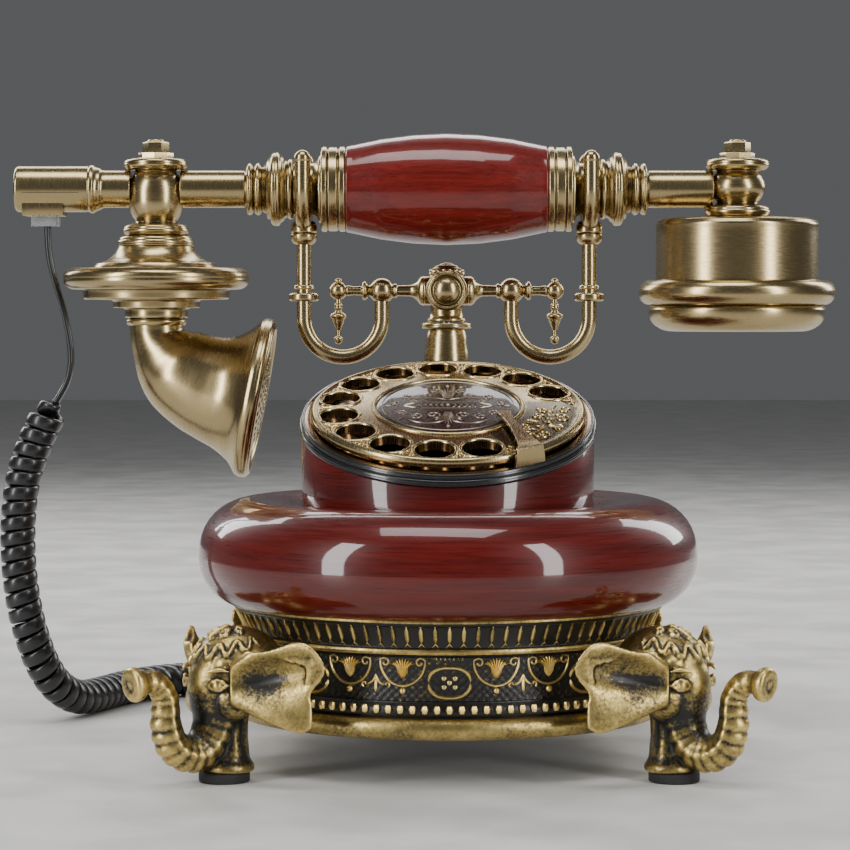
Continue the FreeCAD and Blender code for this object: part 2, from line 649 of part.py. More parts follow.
def spiral_spring(start):
    """A flat spiral of half circles, each a little larger, with a square wire."""
    edges, radius, growth, side, centre = [], float(start) + 1.0, 1.0, 1.0, 0.0
    level, half_turns = -3.0, 12
    for _ in range(half_turns):
        a, b = V(centre + side * radius, 0, level), V(centre - side * radius, 0, level)
        edges.append(Part.Arc(a, V(centre, side * radius, level), b).toShape())
        centre += side * growth / 2
        radius += growth / 2
        side = -side
    path = Part.Wire(edges)
    corner = V(float(start) + 1.0, 0, level)
    section = ((-0.2, -1.5), (0.2, -1.5), (0.2, 1.5), (-0.2, 1.5), (-0.2, -1.5))
    across = [corner + V(dx, 0, dz) for dx, dz in section]
    return path.makePipeShell([Part.makePolygon(across)], True, True)


# ---------------------------------------------------------------- post and cradle
def make_post():
    """The turned brass post, bored for the plunger, standing on the ring body."""
    high, bore = cell("ring_high"), cell("plunger_radius") + cell("running_fit")
    top, vase = ARM_Z - 13.6, cell("post_radius")
    rise = top - high
    body = turned("post", [
        (bore, high), (13.0, high), (13.0, high + rise * 0.035), (11.0, high + rise * 0.063, 0.4),
        (6.0, high + rise * 0.127, -0.3), (4.6, high + rise * 0.348), (6.4, high + rise * 0.38),
        (6.4, high + rise * 0.411, 0.5), (4.8, high + rise * 0.443), (vase, top - 7.5, 0.12),
        (7.1, top - 1.2, 0.1), (9.8, top - 1.2), (9.8, top + 1.0, 0.5), (7.4, top + 1.0), (bore, top + 1.0)],
        (0.0, HANDSET_Y, 0.0))
    return node(body, "post")


def make_crosshead():
    """The part that rides on the post: tapered body, cross hub, round boss in front and crown on top."""
    y, z = HANDSET_Y, ARM_Z
    low, high, hub_radius = z - 12.2, z + 6.0, 5.7
    body = turned("cross_body", [
        (0.0, low), (7.4, low), (6.6, z - 5.0), (6.8, high), (0.0, high)], (0.0, y, 0.0))
    hub = rod("cross_hub", hub_radius, 18.0, (-9.0, y, z), (0, 1, 0), 90.0)
    node(joined("crosshead", body, hub), "crosshead")
    boss = turned("cross_boss", [
        (0.0, 7.3), (6.0, 7.3), (7.6, 8.6, 0.3), (7.4, 10.4, 0.5), (6.2, 10.6), (5.2, 10.0),
        (0.0, 12.4, dome_turn(5.2, 2.4))], (0.0, y, z), FRONT, 90.0)
    sunk = rod("boss_seat", 6.9, 30.0, (0.0, y, z - 15.0))
    hub_space = rod("boss_hub_space", hub_radius, 18.0, (-9.0, y, z), (0, 1, 0), 90.0)
    node(cut("cradle_boss", boss, sunk, hub_space), "cradle_boss")
    crown = turned("cradle_crown", [
        (0.0, high), (6.4, high), (6.4, high + 2.0, 0.8), (6.0, high + 2.6), (5.0, high + 3.4),
        (0.0, high + 5.0, dome_turn(5.0, 1.6))], (0.0, y, 0.0))
    node(crown, "cradle_crown")
    make_hook(y, low)


def make_hook(y, plunger_high):
    """The plunger under the cradle, the spring that lifts it and the switch that it works."""
    floor, thin = cell("plinth_high"), cell("plunger_radius")
    low, flange, spring_radius, wire_radius = floor + 13.0, 2.0, 3.6, 0.6
    plunger = turned("hook_plunger", [
        (0.0, low), (5.0, low), (5.0, low + flange), (thin, low + flange), (thin, plunger_high),
        (0.0, plunger_high)], (0.0, y, 0.0))
    node(plunger, "hook_plunger")
    wire = Part.makeHelix(2.2, float(low - floor) - 3 * wire_radius, spring_radius)
    section = Part.Wire(Part.Circle(V(spring_radius, 0, 0), V(0, 1, 0), wire_radius).toShape())
    spring = Part.Wire(wire.Edges).makePipeShell([section], True, True)
    node(place(solid_piece("hook_spring", spring), (0.0, y, floor + 1.5 * wire_radius)), "hook_spring")
    case = block("switch_case", (12.0, 10.0, 9.0), (7.0, y - 8.0, floor))
    blade = block("switch_blade", (13.0, 3.0, 0.8), (5.4, y - 3.5, floor + 10.4))
    stub = block("switch_stub", (3.0, 3.0, 1.6), (15.0, y - 3.5, floor + 8.9))
    node(joined("hook_switch", case, blade, stub), "hook_switch")


def half_ring(name, radius, section, centre, turns):
    """Half a round hoop, opening upwards, in the plane that its turns set."""
    hoop = primitive("Part::Torus", name, {"Radius1": radius, "Radius2": section, "Angle3": 180.0})
    rotation = FreeCAD.Rotation()
    for axis, angle in turns:
        rotation = FreeCAD.Rotation(V(*axis), angle).multiply(rotation)
    hoop.Placement = FreeCAD.Placement(V(*[float(n) for n in centre]), rotation)
    for letter, number in zip("xyz", centre):
        if isinstance(number, Size):
            hoop.setExpression(f"Placement.Base.{letter}", number.formula)
    return hoop


def make_arm(name, side):
    """One turned cross arm: cone, rod, ball, small ring, end ball and its hanging pendant."""
    y, z, ball_x, end_x = HANDSET_Y, ARM_Z, cell("ball_x"), END_BALL_X
    arm = turned(name + "_turning", [
        (0.0, 9.0), (5.4, 9.0), (4.6, 11.0), (2.0, 14.0, -0.2), (2.0, ball_x - 5.8), (2.6, ball_x - 4.387),
        (2.6, ball_x + 4.387, 0.5697), (1.8, ball_x + 5.6), (3.3, ball_x + 6.2), (3.3, ball_x + 7.6, 0.5),
        (1.7, ball_x + 8.0), (1.7, end_x), (0.0, end_x)],
        (0.0, y, z), (0, 1, 0), 90.0 * side)
    drop_x = side * end_x
    pendant = turned(name + "_pendant", [
        (0.0, z - 21.0), (1.6, z - 19.4, dome_turn(1.6, 1.6)), (0.8, z - 17.8, 0.5), (0.9, z - 15.0),
        (1.5, z - 13.6), (2.6, z - 10.6), (3.1, z - 10.4), (3.1, z - 8.8, 0.5), (1.4, z - 8.4),
        (1.4, z - 2.0), (0.0, z - 2.0)], (drop_x, y, 0.0))
    end_ball = ball(name + "_end_ball", 3.6, (drop_x, y, z))
    return node(joined(name, arm, end_ball, pendant), name)


def make_fork(name, side):
    """A bent hook that hangs from an arm's ball, its upright, and the two-pronged fork for the handset."""
    y, z, ball_x, fork_x = HANDSET_Y, ARM_Z, cell("ball_x"), FORK_X
    wire, axis_z = cell("hook_radius"), HANDSET_Z
    bend = (fork_x - ball_x) * 0.5
    bend_z = z - 10.7
    fork = [half_ring(name + "_bend", bend, wire, ((ball_x + bend) * side, y, bend_z), [((1, 0, 0), -90.0)])]
    fork.append(rod(name + "_drop", wire, z - 3.0 - bend_z, (ball_x * side, y, bend_z)))
    x = fork_x * side
    hub_low = axis_z - 21.5
    fork.append(rod(name + "_upright", wire, hub_low - bend_z + 3.0, (x, y, bend_z)))
    fork.append(turned(name + "_collar", [
        (0.0, z - 4.1), (5.0, z - 4.1), (5.9, z - 3.2, 0.4), (5.9, z - 1.8), (5.0, z - 0.9, 0.4),
        (0.0, z - 0.9)], (x, y, 0.0)))
    fork.append(turned(name + "_hub", [
        (0.0, hub_low), (4.0, hub_low), (5.1, hub_low + 2.0, 0.2), (5.1, hub_low + 7.0),
        (4.0, hub_low + 9.0, 0.2), (0.0, hub_low + 9.0)], (x, y, 0.0)))
    prong = cell("prong_radius")
    spread = cell("neck_radius") + cell("seat_gap") + prong
    across = [((1, 0, 0), -90.0), ((0, 0, 1), 90.0)]
    fork.append(half_ring(name + "_cradle", spread, prong, (x, y, axis_z), across))
    for index, way in enumerate((-1, 1)):
        fork.append(rod(f"{name}_prong_{index}", prong, 10.0, (x, y + way * spread, axis_z)))
        fork.append(ball(f"{name}_tip_{index}", prong, (x, y + way * spread, axis_z + 11.6)))
    ball_space = ball(name + "_ball_space", 5.1, (ball_x * side, y, z))
    return node(cut(name, joined(name + "_whole", *fork), ball_space), name)


# ---------------------------------------------------------------- handset
def along_handset(side):
    return ((0.0, HANDSET_Y, HANDSET_Z), (0, 1, 0), 90.0 * side)


def make_grip():
    half, fat, thin = cell("grip_half"), cell("grip_radius"), cell("grip_end_radius")
    bulge = 0.5 * float(fat - thin) / float(half)
    barrel = turned("handset_grip", [
        (0.0, -half), (thin - 0.8, -half), (thin, -half + 1.0, 0.4), (fat, 0.0, bulge),
        (thin, half - 1.0, bulge), (thin - 0.8, half, 0.4), (0.0, half)], *along_handset(1))
    node(barrel, "handset_grip")


def make_handset_side(word, side):
    """Collar, turned neck, T elbow and its top nut, for one end of the handset."""
    start, wide = cell("grip_half"), cell("collar_width")
    ring, neck, ridge = cell("collar_radius"), cell("neck_radius"), cell("ridge_radius")
    tube = cell("tube_radius")
    end = start + wide
    collar = turned("grip_collar_" + word, [
        (0.0, start), (ring - 0.8, start), (ring, start + 0.9, 0.4), (ring, start + 2.6),
        (ring - 0.6, start + 3.2),
        (ring - 0.6, end - 3.2), (ring, end - 2.6), (ring, end - 0.9), (ring - 0.8, end, 0.4), (0.0, end)],
        *along_handset(side))
    node(collar, "grip_collar_" + word)
    fork_x, elbow = FORK_X, cell("elbow_x")
    root_x = elbow - cell("elbow_radius") + 1.0
    turning = turned("neck_" + word, [
        (0.0, end), (neck + 3.0, end), (neck, end + 3.6, -0.3), (neck, fork_x + 3.8),
        (neck + 1.6, fork_x + 5.0),
        (ridge - 1.0, fork_x + 8.4, -0.2), (ridge, fork_x + 11.0, 0.5), (ridge - 1.6, fork_x + 13.4, 0.3),
        (neck - 1.6, fork_x + 16.0, -0.2), (neck, fork_x + 17.6, 0.5), (neck - 1.4, fork_x + 19.4, 0.5),
        (neck, fork_x + 21.2, 0.5), (tube, fork_x + 23.0, 0.3), (tube, root_x), (0.0, root_x)],
        *along_handset(side))
    node(turning, "neck_" + word)


def make_elbow(word, side, lower_z):
    """The ball where the handset turns down, with its rings above and below, bored for the neck."""
    x, y, z, radius = cell("elbow_x") * side, HANDSET_Y, HANDSET_Z, cell("elbow_radius")
    body = turned(f"elbow_{word}_turning", [
        (0.0, lower_z), (radius + 0.4, lower_z), (radius + 2.0, lower_z + 1.4, 0.2),
        (radius + 0.4, lower_z + 4.4, 0.8), (radius - 2.4, lower_z + 5.4), (radius - 2.4, z + 7.0, 0.42),
        (radius - 1.0, z + 7.4),
        (radius + 1.6, z + 9.0, 0.4), (radius + 0.6, z + 12.0, 0.6), (0.0, z + 12.0)], (x, y, 0.0))
    seat_x = (cell("elbow_x") - radius + 1.0) * side
    seat = rod(f"elbow_{word}_seat", cell("tube_radius"), 12.0, (seat_x, y, z), (0, 1, 0), -90.0 * side)
    if side > 0:
        return node(cut("elbow_" + word, body, seat), "elbow_" + word)
    far_seat = rod("elbow_cap_seat", cell("tube_radius"), 12.0, (x - radius + 1.0, y, z), (0, 1, 0), -90.0)
    return node(cut("elbow_" + word, body, seat, far_seat), "elbow_" + word)


def make_nut(word, side):
    """The hexagon nut and its octagonal base on top of an elbow."""
    x, y, z = cell("elbow_x") * side, HANDSET_Y, HANDSET_Z + 12.0
    base = primitive("Part::Prism", f"nut_base_{word}", {"Polygon": 8, "Circumradius": 6.9, "Height": 2.4},
                     (x, y, z))
    nut = primitive("Part::Prism", f"nut_head_{word}", {"Polygon": 6, "Circumradius": 5.2, "Height": 4.2},
                    (x, y, z + 2.2))
    cap = primitive("Part::Cone", f"nut_cap_{word}", {"Radius1": 4.4, "Radius2": 3.0, "Height": 1.0},
                    (x, y, z + 6.3))
    return node(joined("top_nut_" + word, base, nut, cap), "top_nut_" + word)


def make_mouthpiece():
    """The stack under the left elbow, the curved horn, its rim, grille and capsule."""
    x, y, ring_z, ring_r = -cell("elbow_x"), HANDSET_Y, HANDSET_Z - cell("flange_drop"), cell("flange_radius")
    start, high = ring_z - 18.4, LEFT_ELBOW_LOW
    stack = turned("mouthpiece_flange", [
        (0.0, start), (10.6, start), (11.8, ring_z - 17.2, 0.4), (11.4, ring_z - 16.0, 0.4),
        (12.4, ring_z - 15.6), (12.4, ring_z - 11.8), (16.9, ring_z - 11.6), (16.9, ring_z - 8.8),
        (ring_r - 8.0, ring_z - 8.4, -0.1), (ring_r - 7.4, ring_z - 4.4), (ring_r - 3.8, ring_z - 4.2),
        (ring_r - 3.8, ring_z + 4.0, 0.9), (ring_r - 10.6, ring_z + 2.6, -0.3), (24.7, ring_z + 2.8),
        (14.6, high - 4.0, -0.32), (14.6, high - 1.6), (13.0, high, 0.4), (0.0, high)],
        (x, y, 0.0))
    node(stack, "mouthpiece_flange")
    tilt = 10.8
    axis = (math.cos(math.radians(tilt)), 0.0, -math.sin(math.radians(tilt)))
    stations = [
        ((x, y, start), (0, 0, -1), 10.4), ((x + 1.7, y, start - 6.8), (0.40, 0, -0.91), 11.9),
        ((x + 7.4, y, start - 17.0), (0.84, 0, -0.53), 17.0),
        ((x + 14.5, y, start - 21.6), (0.92, 0, -0.40), 19.2),
        ((x + 27.0, y, start - 26.2), (0.97, 0, -0.22), 22.8), ((x + 32.4, y, start - 27.3), axis, 26.4),
        ((x + 35.6, y, start - 27.9), axis, 30.2)]
    shell = lofted("horn_outer", stations)
    wall = 1.8
    hollow = lofted("horn_inner", [(centre, way, radius - wall) for centre, way, radius in stations[2:]])
    node(cut("mouthpiece_horn", shell, hollow), "mouthpiece_horn")
    radius, face = cell("horn_radius"), stations[-1][0]
    turn = 90.0 + tilt
    rim = turned("horn_rim", [
        (radius - 5.6, 0.0), (radius - 1.2, 0.0), (radius - 0.4, 6.0, 0.7), (radius - 3.6, 6.0, 0.5),
        (radius - 5.6, 4.6)], face, (0, 1, 0), turn)
    node(rim, "horn_rim")
    edge, hollow_edge = radius - 5.7, radius - 7.4
    grille = turned("mouthpiece_grille", [
        (0.0, 0.6), (edge, 0.6), (edge, 4.0), (0.0, 7.6, dome_turn(edge, 3.6)), (0.0, 5.8),
        (hollow_edge, 2.4, -dome_turn(hollow_edge, 3.4)), (hollow_edge, 2.0), (0.0, 2.0)],
        face, (0, 1, 0), turn)
    node(grille, "mouthpiece_grille")
    capsule = turned("microphone_capsule", [
        (0.0, -4.0), (12.0, -4.0), (14.0, -2.0, 0.2), (14.0, 0.6), (0.0, 0.6)], face, (0, 1, 0), turn)
    node(capsule, "microphone_capsule")


def make_receiver():
    """The drum under the right elbow: cup, ring, rounded cap and the capsule inside."""
    x, y = cell("elbow_x"), HANDSET_Y
    low, high = HANDSET_Z - cell("drum_drop"), RIGHT_ELBOW_LOW
    radius, ring = cell("drum_radius"), cell("drum_ring_radius")
    seam, inner, ring_half = low + 15.2, radius - 2.2, 4.8
    top, brow = seam - ring_half, seam + ring_half
    cup = turned("receiver_cup", [
        (inner, seam), (radius, seam), (radius, high - 4.2), (radius - 4.0, high - 0.8, 0.4),
        (13.0, high - 0.2), (9.0, high), (0.0, high), (0.0, high - 2.6), (radius - 5.0, high - 3.0),
        (inner, high - 5.6, -0.4)], (x, y, 0.0))
    node(cup, "receiver_cup")
    band = turned("receiver_ring", [
        (inner, top), (ring - ring_half, top), (ring - ring_half, brow, 0.92), (radius, brow),
        (radius, seam), (inner, seam)], (x, y, 0.0))
    node(band, "receiver_ring")
    cap = turned("receiver_cap", [
        (8.0, low), (25.0, low), (34.6, low + 6.0, 0.3), (33.2, top, 0.15), (0.0, top), (0.0, top - 1.6),
        (28.0, top - 1.6), (24.0, low + 1.8, -0.1), (0.0, low + 3.4), (0.0, low + 1.4),
        (8.0, low + 1.4)], (x, y, 0.0))
    node(cap, "receiver_cap")
    capsule = turned("speaker_capsule", [
        (0.0, top), (18.0, top), (18.0, top + 5.0), (12.0, top + 8.0), (0.0, top + 8.0)], (x, y, 0.0))
    node(capsule, "speaker_capsule")


CAP_NEAR = cell("elbow_x") + cell("elbow_radius") - 1.0
CAP_FLARE = CAP_NEAR + 14.6
SKIRT_X = -(CAP_FLARE + cell("cap_length") - 3.2)


def make_end_cap():
    """The cylinder at the far left, with the modular socket under it."""
    y, z, near, flare, skirt_x = HANDSET_Y, HANDSET_Z, CAP_NEAR, CAP_FLARE, SKIRT_X
    radius, length, tube = cell("cap_radius"), cell("cap_length"), cell("tube_radius")
    cap = turned("end_cap_turning", [
        (0.0, near), (tube, near), (tube, flare - 3.4), (radius, flare, -0.3), (radius, flare + length - 1.2),
        (radius - 1.2, flare + length, 0.4), (0.0, flare + length)], (0.0, y, z), (0, 1, 0), -90.0)
    skirt = block("cap_skirt", (16.0, 14.0, 8.0), (skirt_x, y - 7.0, z - 10.6))
    socket = block("cap_socket", (11.4, 8.2, 9.0), (skirt_x + 3.0, y - 4.1, z - 11.6))
    node(cut("end_cap", joined("cap_with_skirt", cap, skirt), socket), "end_cap")
    plug = block("plug_body", (9.6, 7.8, 12.0), (skirt_x + 3.2, y - 3.9, z - 14.6))
    latch = block("plug_latch", (1.2, 3.0, 8.0), (skirt_x + 12.8, y - 1.5, z - 14.6))
    node(joined("handset_plug", plug, latch), "handset_plug")


# ---------------------------------------------------------------- cord
LEAD_ROUTE = [
    (-156.6, 70.0, 197.4), (-156.6, 70.0, 189.0), (-154.6, 70.0, 178.0), (-149.8, 70.0, 162.0),
    (-147.2, 70.0, 147.0), (-148.6, 70.0, 137.0), (-153.0, 70.0, 129.6)]
COIL_ROUTE = [
    (-153.0, 70.0, 129.6), (-160.0, 70.0, 117.827), (-166.6, 70.0, 101.0), (-169.2, 70.0, 82.0),
    (-168.8, 70.0, 60.0), (-165.0, 71.0, 38.0), (-158.4, 78.0, 18.0), (-150.0, 93.0, 8.0),
    (-142.6, 112.0, 7.1), (-135.4, 134.0, 7.1), (-124.0, 154.0, 7.1), (-104.0, 166.0, 7.1),
    (-80.0, 164.0, 7.1), (-60.0, 149.0, 7.2), (-46.0, 131.0, 9.0)]
TAIL_ROUTE = [
    (-46.0, 131.0, 9.0), (-38.0, 120.714, 10.029), (-22.0, 110.0, 18.0), (-10.0, 101.0, 28.0),
    (-8.0, 92.0, 32.2), (-8.0, 83.0, 32.2)]


def led(route, head, foot):
    """A route with its first two points moved by head, its last two by foot and the rest in between."""
    moved = []
    for index, point in enumerate(route):
        share = min(max((index - 1.0) / (len(route) - 3.0), 0.0), 1.0)
        moved.append(tuple(V(*point) + head * (1.0 - share) + foot * share))
    return moved


def make_cord():
    """The flat lead from the handset, the curly length, and the lead into the rear socket."""
    x, y, z = jack_corner()
    plug_size = (9.4, 20.0, 8.0)
    plug_at = (x + 2.8, y + 7.8, z + 3.2)
    upper_end = V(float(SKIRT_X) + 9.2, float(HANDSET_Y), float(HANDSET_Z) - 14.6)
    lower_end = V(float(plug_at[0]) + 4.7, float(plug_at[1]) + 20.0, float(plug_at[2]) + 4.0)
    above, below, still = upper_end - V(*LEAD_ROUTE[0]), lower_end - V(*TAIL_ROUTE[-1]), V(0, 0, 0)
    for name, route, radius in (("cord_lead", led(LEAD_ROUTE, above, above), cell("lead_radius")),
                                ("cord_coil", led(COIL_ROUTE, above, still), cell("coil_radius")),
                                ("cord_tail", led(TAIL_ROUTE, still, below), cell("lead_radius"))):
        wire, radii = route_wire(route)
        print(name, "length", round(wire.Length, 1), "radii", [round(number, 1) for number in radii])
        node(solid_piece(name, round_tube(wire, float(radius))), name)
    node(block("base_plug", plug_size, plug_at), "base_plug")


make_plinth()
make_feet()
make_bottom()
make_jacks()
make_ring_body()
make_pedestal()
make_finger_stop()
make_trim_ring()
make_number_plate()
make_finger_wheel()
make_medallion()
make_dial_works()
make_post()
make_crosshead()
for word, side in (("left", -1), ("right", 1)):
    make_arm("cradle_arm_" + word, side)
    make_fork("cradle_fork_" + word, side)
    make_handset_side(word, side)
    make_nut(word, side)
make_grip()
make_elbow("left", -1, LEFT_ELBOW_LOW)
make_elbow("right", 1, RIGHT_ELBOW_LOW)
make_mouthpiece()
make_receiver()
make_end_cap()
make_cord()
doc.recompute()

faults = [f"{thing.Name}: {thing.State}" for thing in doc.Objects if {"Invalid", "Error"} & set(thing.State)]
for thing in nodes:
    shape = thing.Shape
    if shape.isNull() or not shape.isValid() or not shape.Solids:
        faults.append(f"{thing.Label}: its shape is null, open or not valid")
if faults:
    raise RuntimeError("pieces that failed: " + "; ".join(faults))

os.makedirs("parts", exist_ok=True)
for thing in nodes:
    thing.Shape.exportStep(os.path.join("parts", thing.Label + ".step"))
    low, high = thing.Shape.BoundBox.getPoint(0), thing.Shape.BoundBox.getPoint(6)
    print(f"{thing.Label}: {len(thing.Shape.Solids)} solids, volume {thing.Shape.Volume:.0f},",
          f"z {thing.Shape.BoundBox.ZMin:.1f} to {thing.Shape.BoundBox.ZMax:.1f}")
print(len(nodes), "parts written")
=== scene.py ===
"""An antique-style rotary telephone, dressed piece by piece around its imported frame.

Lengths inside the functions are millimetres in the frame's own axes: +X towards the receiver,
-Y towards the person dialling, +Z up. Meshes are stored in metres, as the frame is.
"""
import json
import math

import bmesh
import bpy
import numpy as np
from bpy.props import FloatProperty, FloatVectorProperty, IntProperty, PointerProperty
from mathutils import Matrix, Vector


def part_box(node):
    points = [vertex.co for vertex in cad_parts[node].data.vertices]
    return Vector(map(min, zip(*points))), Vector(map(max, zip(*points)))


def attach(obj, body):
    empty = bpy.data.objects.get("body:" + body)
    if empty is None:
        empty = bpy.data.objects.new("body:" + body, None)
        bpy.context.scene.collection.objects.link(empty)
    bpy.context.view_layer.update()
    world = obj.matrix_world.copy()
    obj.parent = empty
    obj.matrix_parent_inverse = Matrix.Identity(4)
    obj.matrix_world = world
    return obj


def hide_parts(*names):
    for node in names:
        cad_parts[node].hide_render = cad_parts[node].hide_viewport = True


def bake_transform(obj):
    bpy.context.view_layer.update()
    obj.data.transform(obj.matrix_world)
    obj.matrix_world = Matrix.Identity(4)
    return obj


bl_info = {
    "name": "Antique rotary telephone",
    "version": (1, 0, 0),
    "blender": (4, 5, 0),
    "location": "View3D > Sidebar > Telephone",
    "description": "Builds the visible pieces of an antique-style rotary telephone around its frame",
    "category": "Add Mesh",
}

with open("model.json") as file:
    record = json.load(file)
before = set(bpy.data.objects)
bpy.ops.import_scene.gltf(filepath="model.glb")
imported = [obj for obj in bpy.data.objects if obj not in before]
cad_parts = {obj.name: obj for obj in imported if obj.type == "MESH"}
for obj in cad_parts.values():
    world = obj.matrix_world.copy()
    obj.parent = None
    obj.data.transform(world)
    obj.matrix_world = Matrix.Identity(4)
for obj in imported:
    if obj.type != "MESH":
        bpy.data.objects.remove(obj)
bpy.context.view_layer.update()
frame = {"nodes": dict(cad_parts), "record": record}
MM = 1000.0
TURN = 2 * math.pi


# ---------------------------------------------------------------- where the frame puts things
def node_box(name):
    """A CAD piece's lowest and highest corners in millimetres."""
    low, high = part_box(name)
    return np.array(low) * MM, np.array(high) * MM


def joint_named(name):
    joints = frame["record"]["behaviour"]["joints"]
    return next(joint for joint in joints if joint["name"] == name)


DIAL = joint_named("dial_turn")
TILT = math.atan2(-DIAL["axis"][1], DIAL["axis"][2])
DIAL_MID = DIAL["pos_m"][2] * MM
GRIP_LOW, GRIP_HIGH = node_box("handset_grip")
HANDSET_Y = float(GRIP_LOW[1] + GRIP_HIGH[1]) / 2
HANDSET_Z = float(GRIP_LOW[2] + GRIP_HIGH[2]) / 2
BOSS_LOW, BOSS_HIGH = node_box("cradle_boss")
ARM_Z = float(BOSS_LOW[2] + BOSS_HIGH[2]) / 2
ELBOW_LOW, ELBOW_HIGH = node_box("elbow_right")
ELBOW_X = float(ELBOW_LOW[0] + ELBOW_HIGH[0]) / 2
RING_TOP = float(node_box("post")[0][2])
RING_LOW = float(node_box("ring_body")[0][2])
PLINTH_LOW = float(node_box("plinth_casting")[0][2])
X_AXIS, Y_AXIS, Z_AXIS = np.eye(3)
DIAL_UP = np.array((0.0, -math.sin(TILT), math.cos(TILT)))
DIAL_BACK = np.array((0.0, math.cos(TILT), math.sin(TILT)))


def on_dial(x, y, up):
    """Points of the dial's slanted frame: to the right, towards the rear, and above its plane."""
    x, y, up = np.broadcast_arrays(*(np.asarray(n, float) for n in (x, y, up)))
    middle = np.array((0.0, 0.0, DIAL_MID))
    return middle + x[..., None] * X_AXIS + y[..., None] * DIAL_BACK + up[..., None] * DIAL_UP


# ---------------------------------------------------------------- grid surfaces
def grid_faces(rows, cols, wrap_rows, wrap_cols):
    """Four corners for each cell of a grid of points, joined end to end where it wraps."""
    row, col = np.meshgrid(np.arange(rows if wrap_rows else rows - 1),
                           np.arange(cols if wrap_cols else cols - 1), indexing="ij")
    below, beside = (row + 1) % rows, (col + 1) % cols
    corners = (row * cols + col, row * cols + beside, below * cols + beside, below * cols + col)
    return np.stack(corners, axis=-1).reshape(-1, 4)


class Shell:
    """Grid surfaces gathered for one piece, each with its tone, its brushing and its finish."""

    def __init__(self):
        self.points, self.faces, self.tones, self.lays, self.slots = [], [], [], [], []
        self.total = 0

    def add(self, grid, wrap_rows=False, wrap_cols=False, tone=0.5, lay=None, slot=0):
        rows, cols = grid.shape[:2]
        faces = grid_faces(rows, cols, wrap_rows, wrap_cols) + self.total
        self.points.append(grid.reshape(-1, 3))
        self.faces.append(faces)
        self.tones.append(np.broadcast_to(np.asarray(tone, float), (rows, cols)).ravel())
        self.lays.append((grid if lay is None else lay).reshape(-1, 3))
        self.slots.append(np.full(len(faces), slot))
        self.total += rows * cols

    def build(self, name, finishes, body, replaced=(), slot=None, relief=0.5, sharp=40.0, hone=None):
        """Join the grids into one mesh, close its seams, face it outwards and put it on its body."""
        mesh = bpy.data.meshes.new(name)
        points, faces = np.concatenate(self.points) / MM, np.concatenate(self.faces)
        mesh.vertices.add(len(points))
        mesh.vertices.foreach_set("co", points.ravel())
        mesh.loops.add(faces.size)
        mesh.loops.foreach_set("vertex_index", faces.ravel())
        mesh.polygons.add(len(faces))
        mesh.polygons.foreach_set("loop_start", np.arange(0, faces.size, 4))
        mesh.polygons.foreach_set("material_index", np.concatenate(self.slots))
        mesh.update(calc_edges=True)
        mesh.attributes.new("gilt", "FLOAT", "POINT").data.foreach_set("value", np.concatenate(self.tones))
        lay = mesh.attributes.new("lay", "FLOAT_VECTOR", "POINT")
        lay.data.foreach_set("vector", np.concatenate(self.lays).ravel())
        work = bmesh.new()
        work.from_mesh(mesh)
        bmesh.ops.remove_doubles(work, verts=work.verts, dist=2e-6)
        bmesh.ops.dissolve_degenerate(work, edges=work.edges, dist=1e-7)
        bmesh.ops.recalc_face_normals(work, faces=work.faces)
        work.to_mesh(mesh)
        work.free()
        for finish in finishes:
            mesh.materials.append(finish)
        piece = bpy.data.objects.new(name, mesh)
        bpy.context.scene.collection.objects.link(piece)
        if hone is not None:
            piece = hone(piece)
            mesh = piece.data
        mesh.shade_smooth()
        mesh.set_sharp_from_angle(angle=math.radians(sharp))
        if relief > 0:
            rub_gilt(mesh, relief)
        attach(piece, body)
        if replaced:
            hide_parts(*replaced)
        return piece


def read(collection, prop, width):
    """One property of every vertex or edge as an array."""
    values = np.empty(len(collection) * width, np.float32 if prop != "vertices" else np.int32)
    collection.foreach_get(prop, values)
    return values.reshape(-1, width) if width > 1 else values


def rub_gilt(mesh, reach):
    """Add to each point's tone how far it stands proud of its neighbours.

    Along each edge the slope against the point's normal, over the edge's length, is the curvature;
    its mean over a point's edges, times a reach in millimetres and held between -0.5 and 0.5, is added.
    """
    places, normals = read(mesh.vertices, "co", 3) * MM, read(mesh.vertices, "normal", 3)
    ends = read(mesh.edges, "vertices", 2)
    span = places[ends[:, 1]] - places[ends[:, 0]]
    square = np.maximum((span ** 2).sum(axis=1), 1e-6)
    bend_a = -(span * normals[ends[:, 0]]).sum(axis=1) / square
    bend_b = (span * normals[ends[:, 1]]).sum(axis=1) / square
    count = len(places)
    degree = np.maximum(np.bincount(ends.ravel(), minlength=count), 1)
    bend = np.bincount(ends[:, 0], bend_a, count) + np.bincount(ends[:, 1], bend_b, count)
    bend = np.clip(bend / degree * reach, -0.5, 0.5)
    for _ in range(2):
        near = np.bincount(ends[:, 0], bend[ends[:, 1]], count) + np.bincount(ends[:, 1], bend[ends[:, 0]],
                                                                              count)
        bend = 0.5 * bend + 0.5 * near / degree
    gilt = mesh.attributes["gilt"].data
    tone = read(gilt, "value", 1)
    gilt.foreach_set("value", np.clip(tone + bend, 0.0, 1.0))


def arc_row(start, end, turn):
    """Points along an arc: each chord from its start grows as the sine of half the angle gone."""
    angle = 4 * math.atan(turn)
    steps = max(3, int(abs(angle) / math.radians(9)) + 1)
    part = np.arange(1, steps + 1) / steps
    chord = (end - start) * np.sin(angle * part / 2) / math.sin(angle / 2)
    return start + chord * np.exp(0.5j * angle * (part - 1))


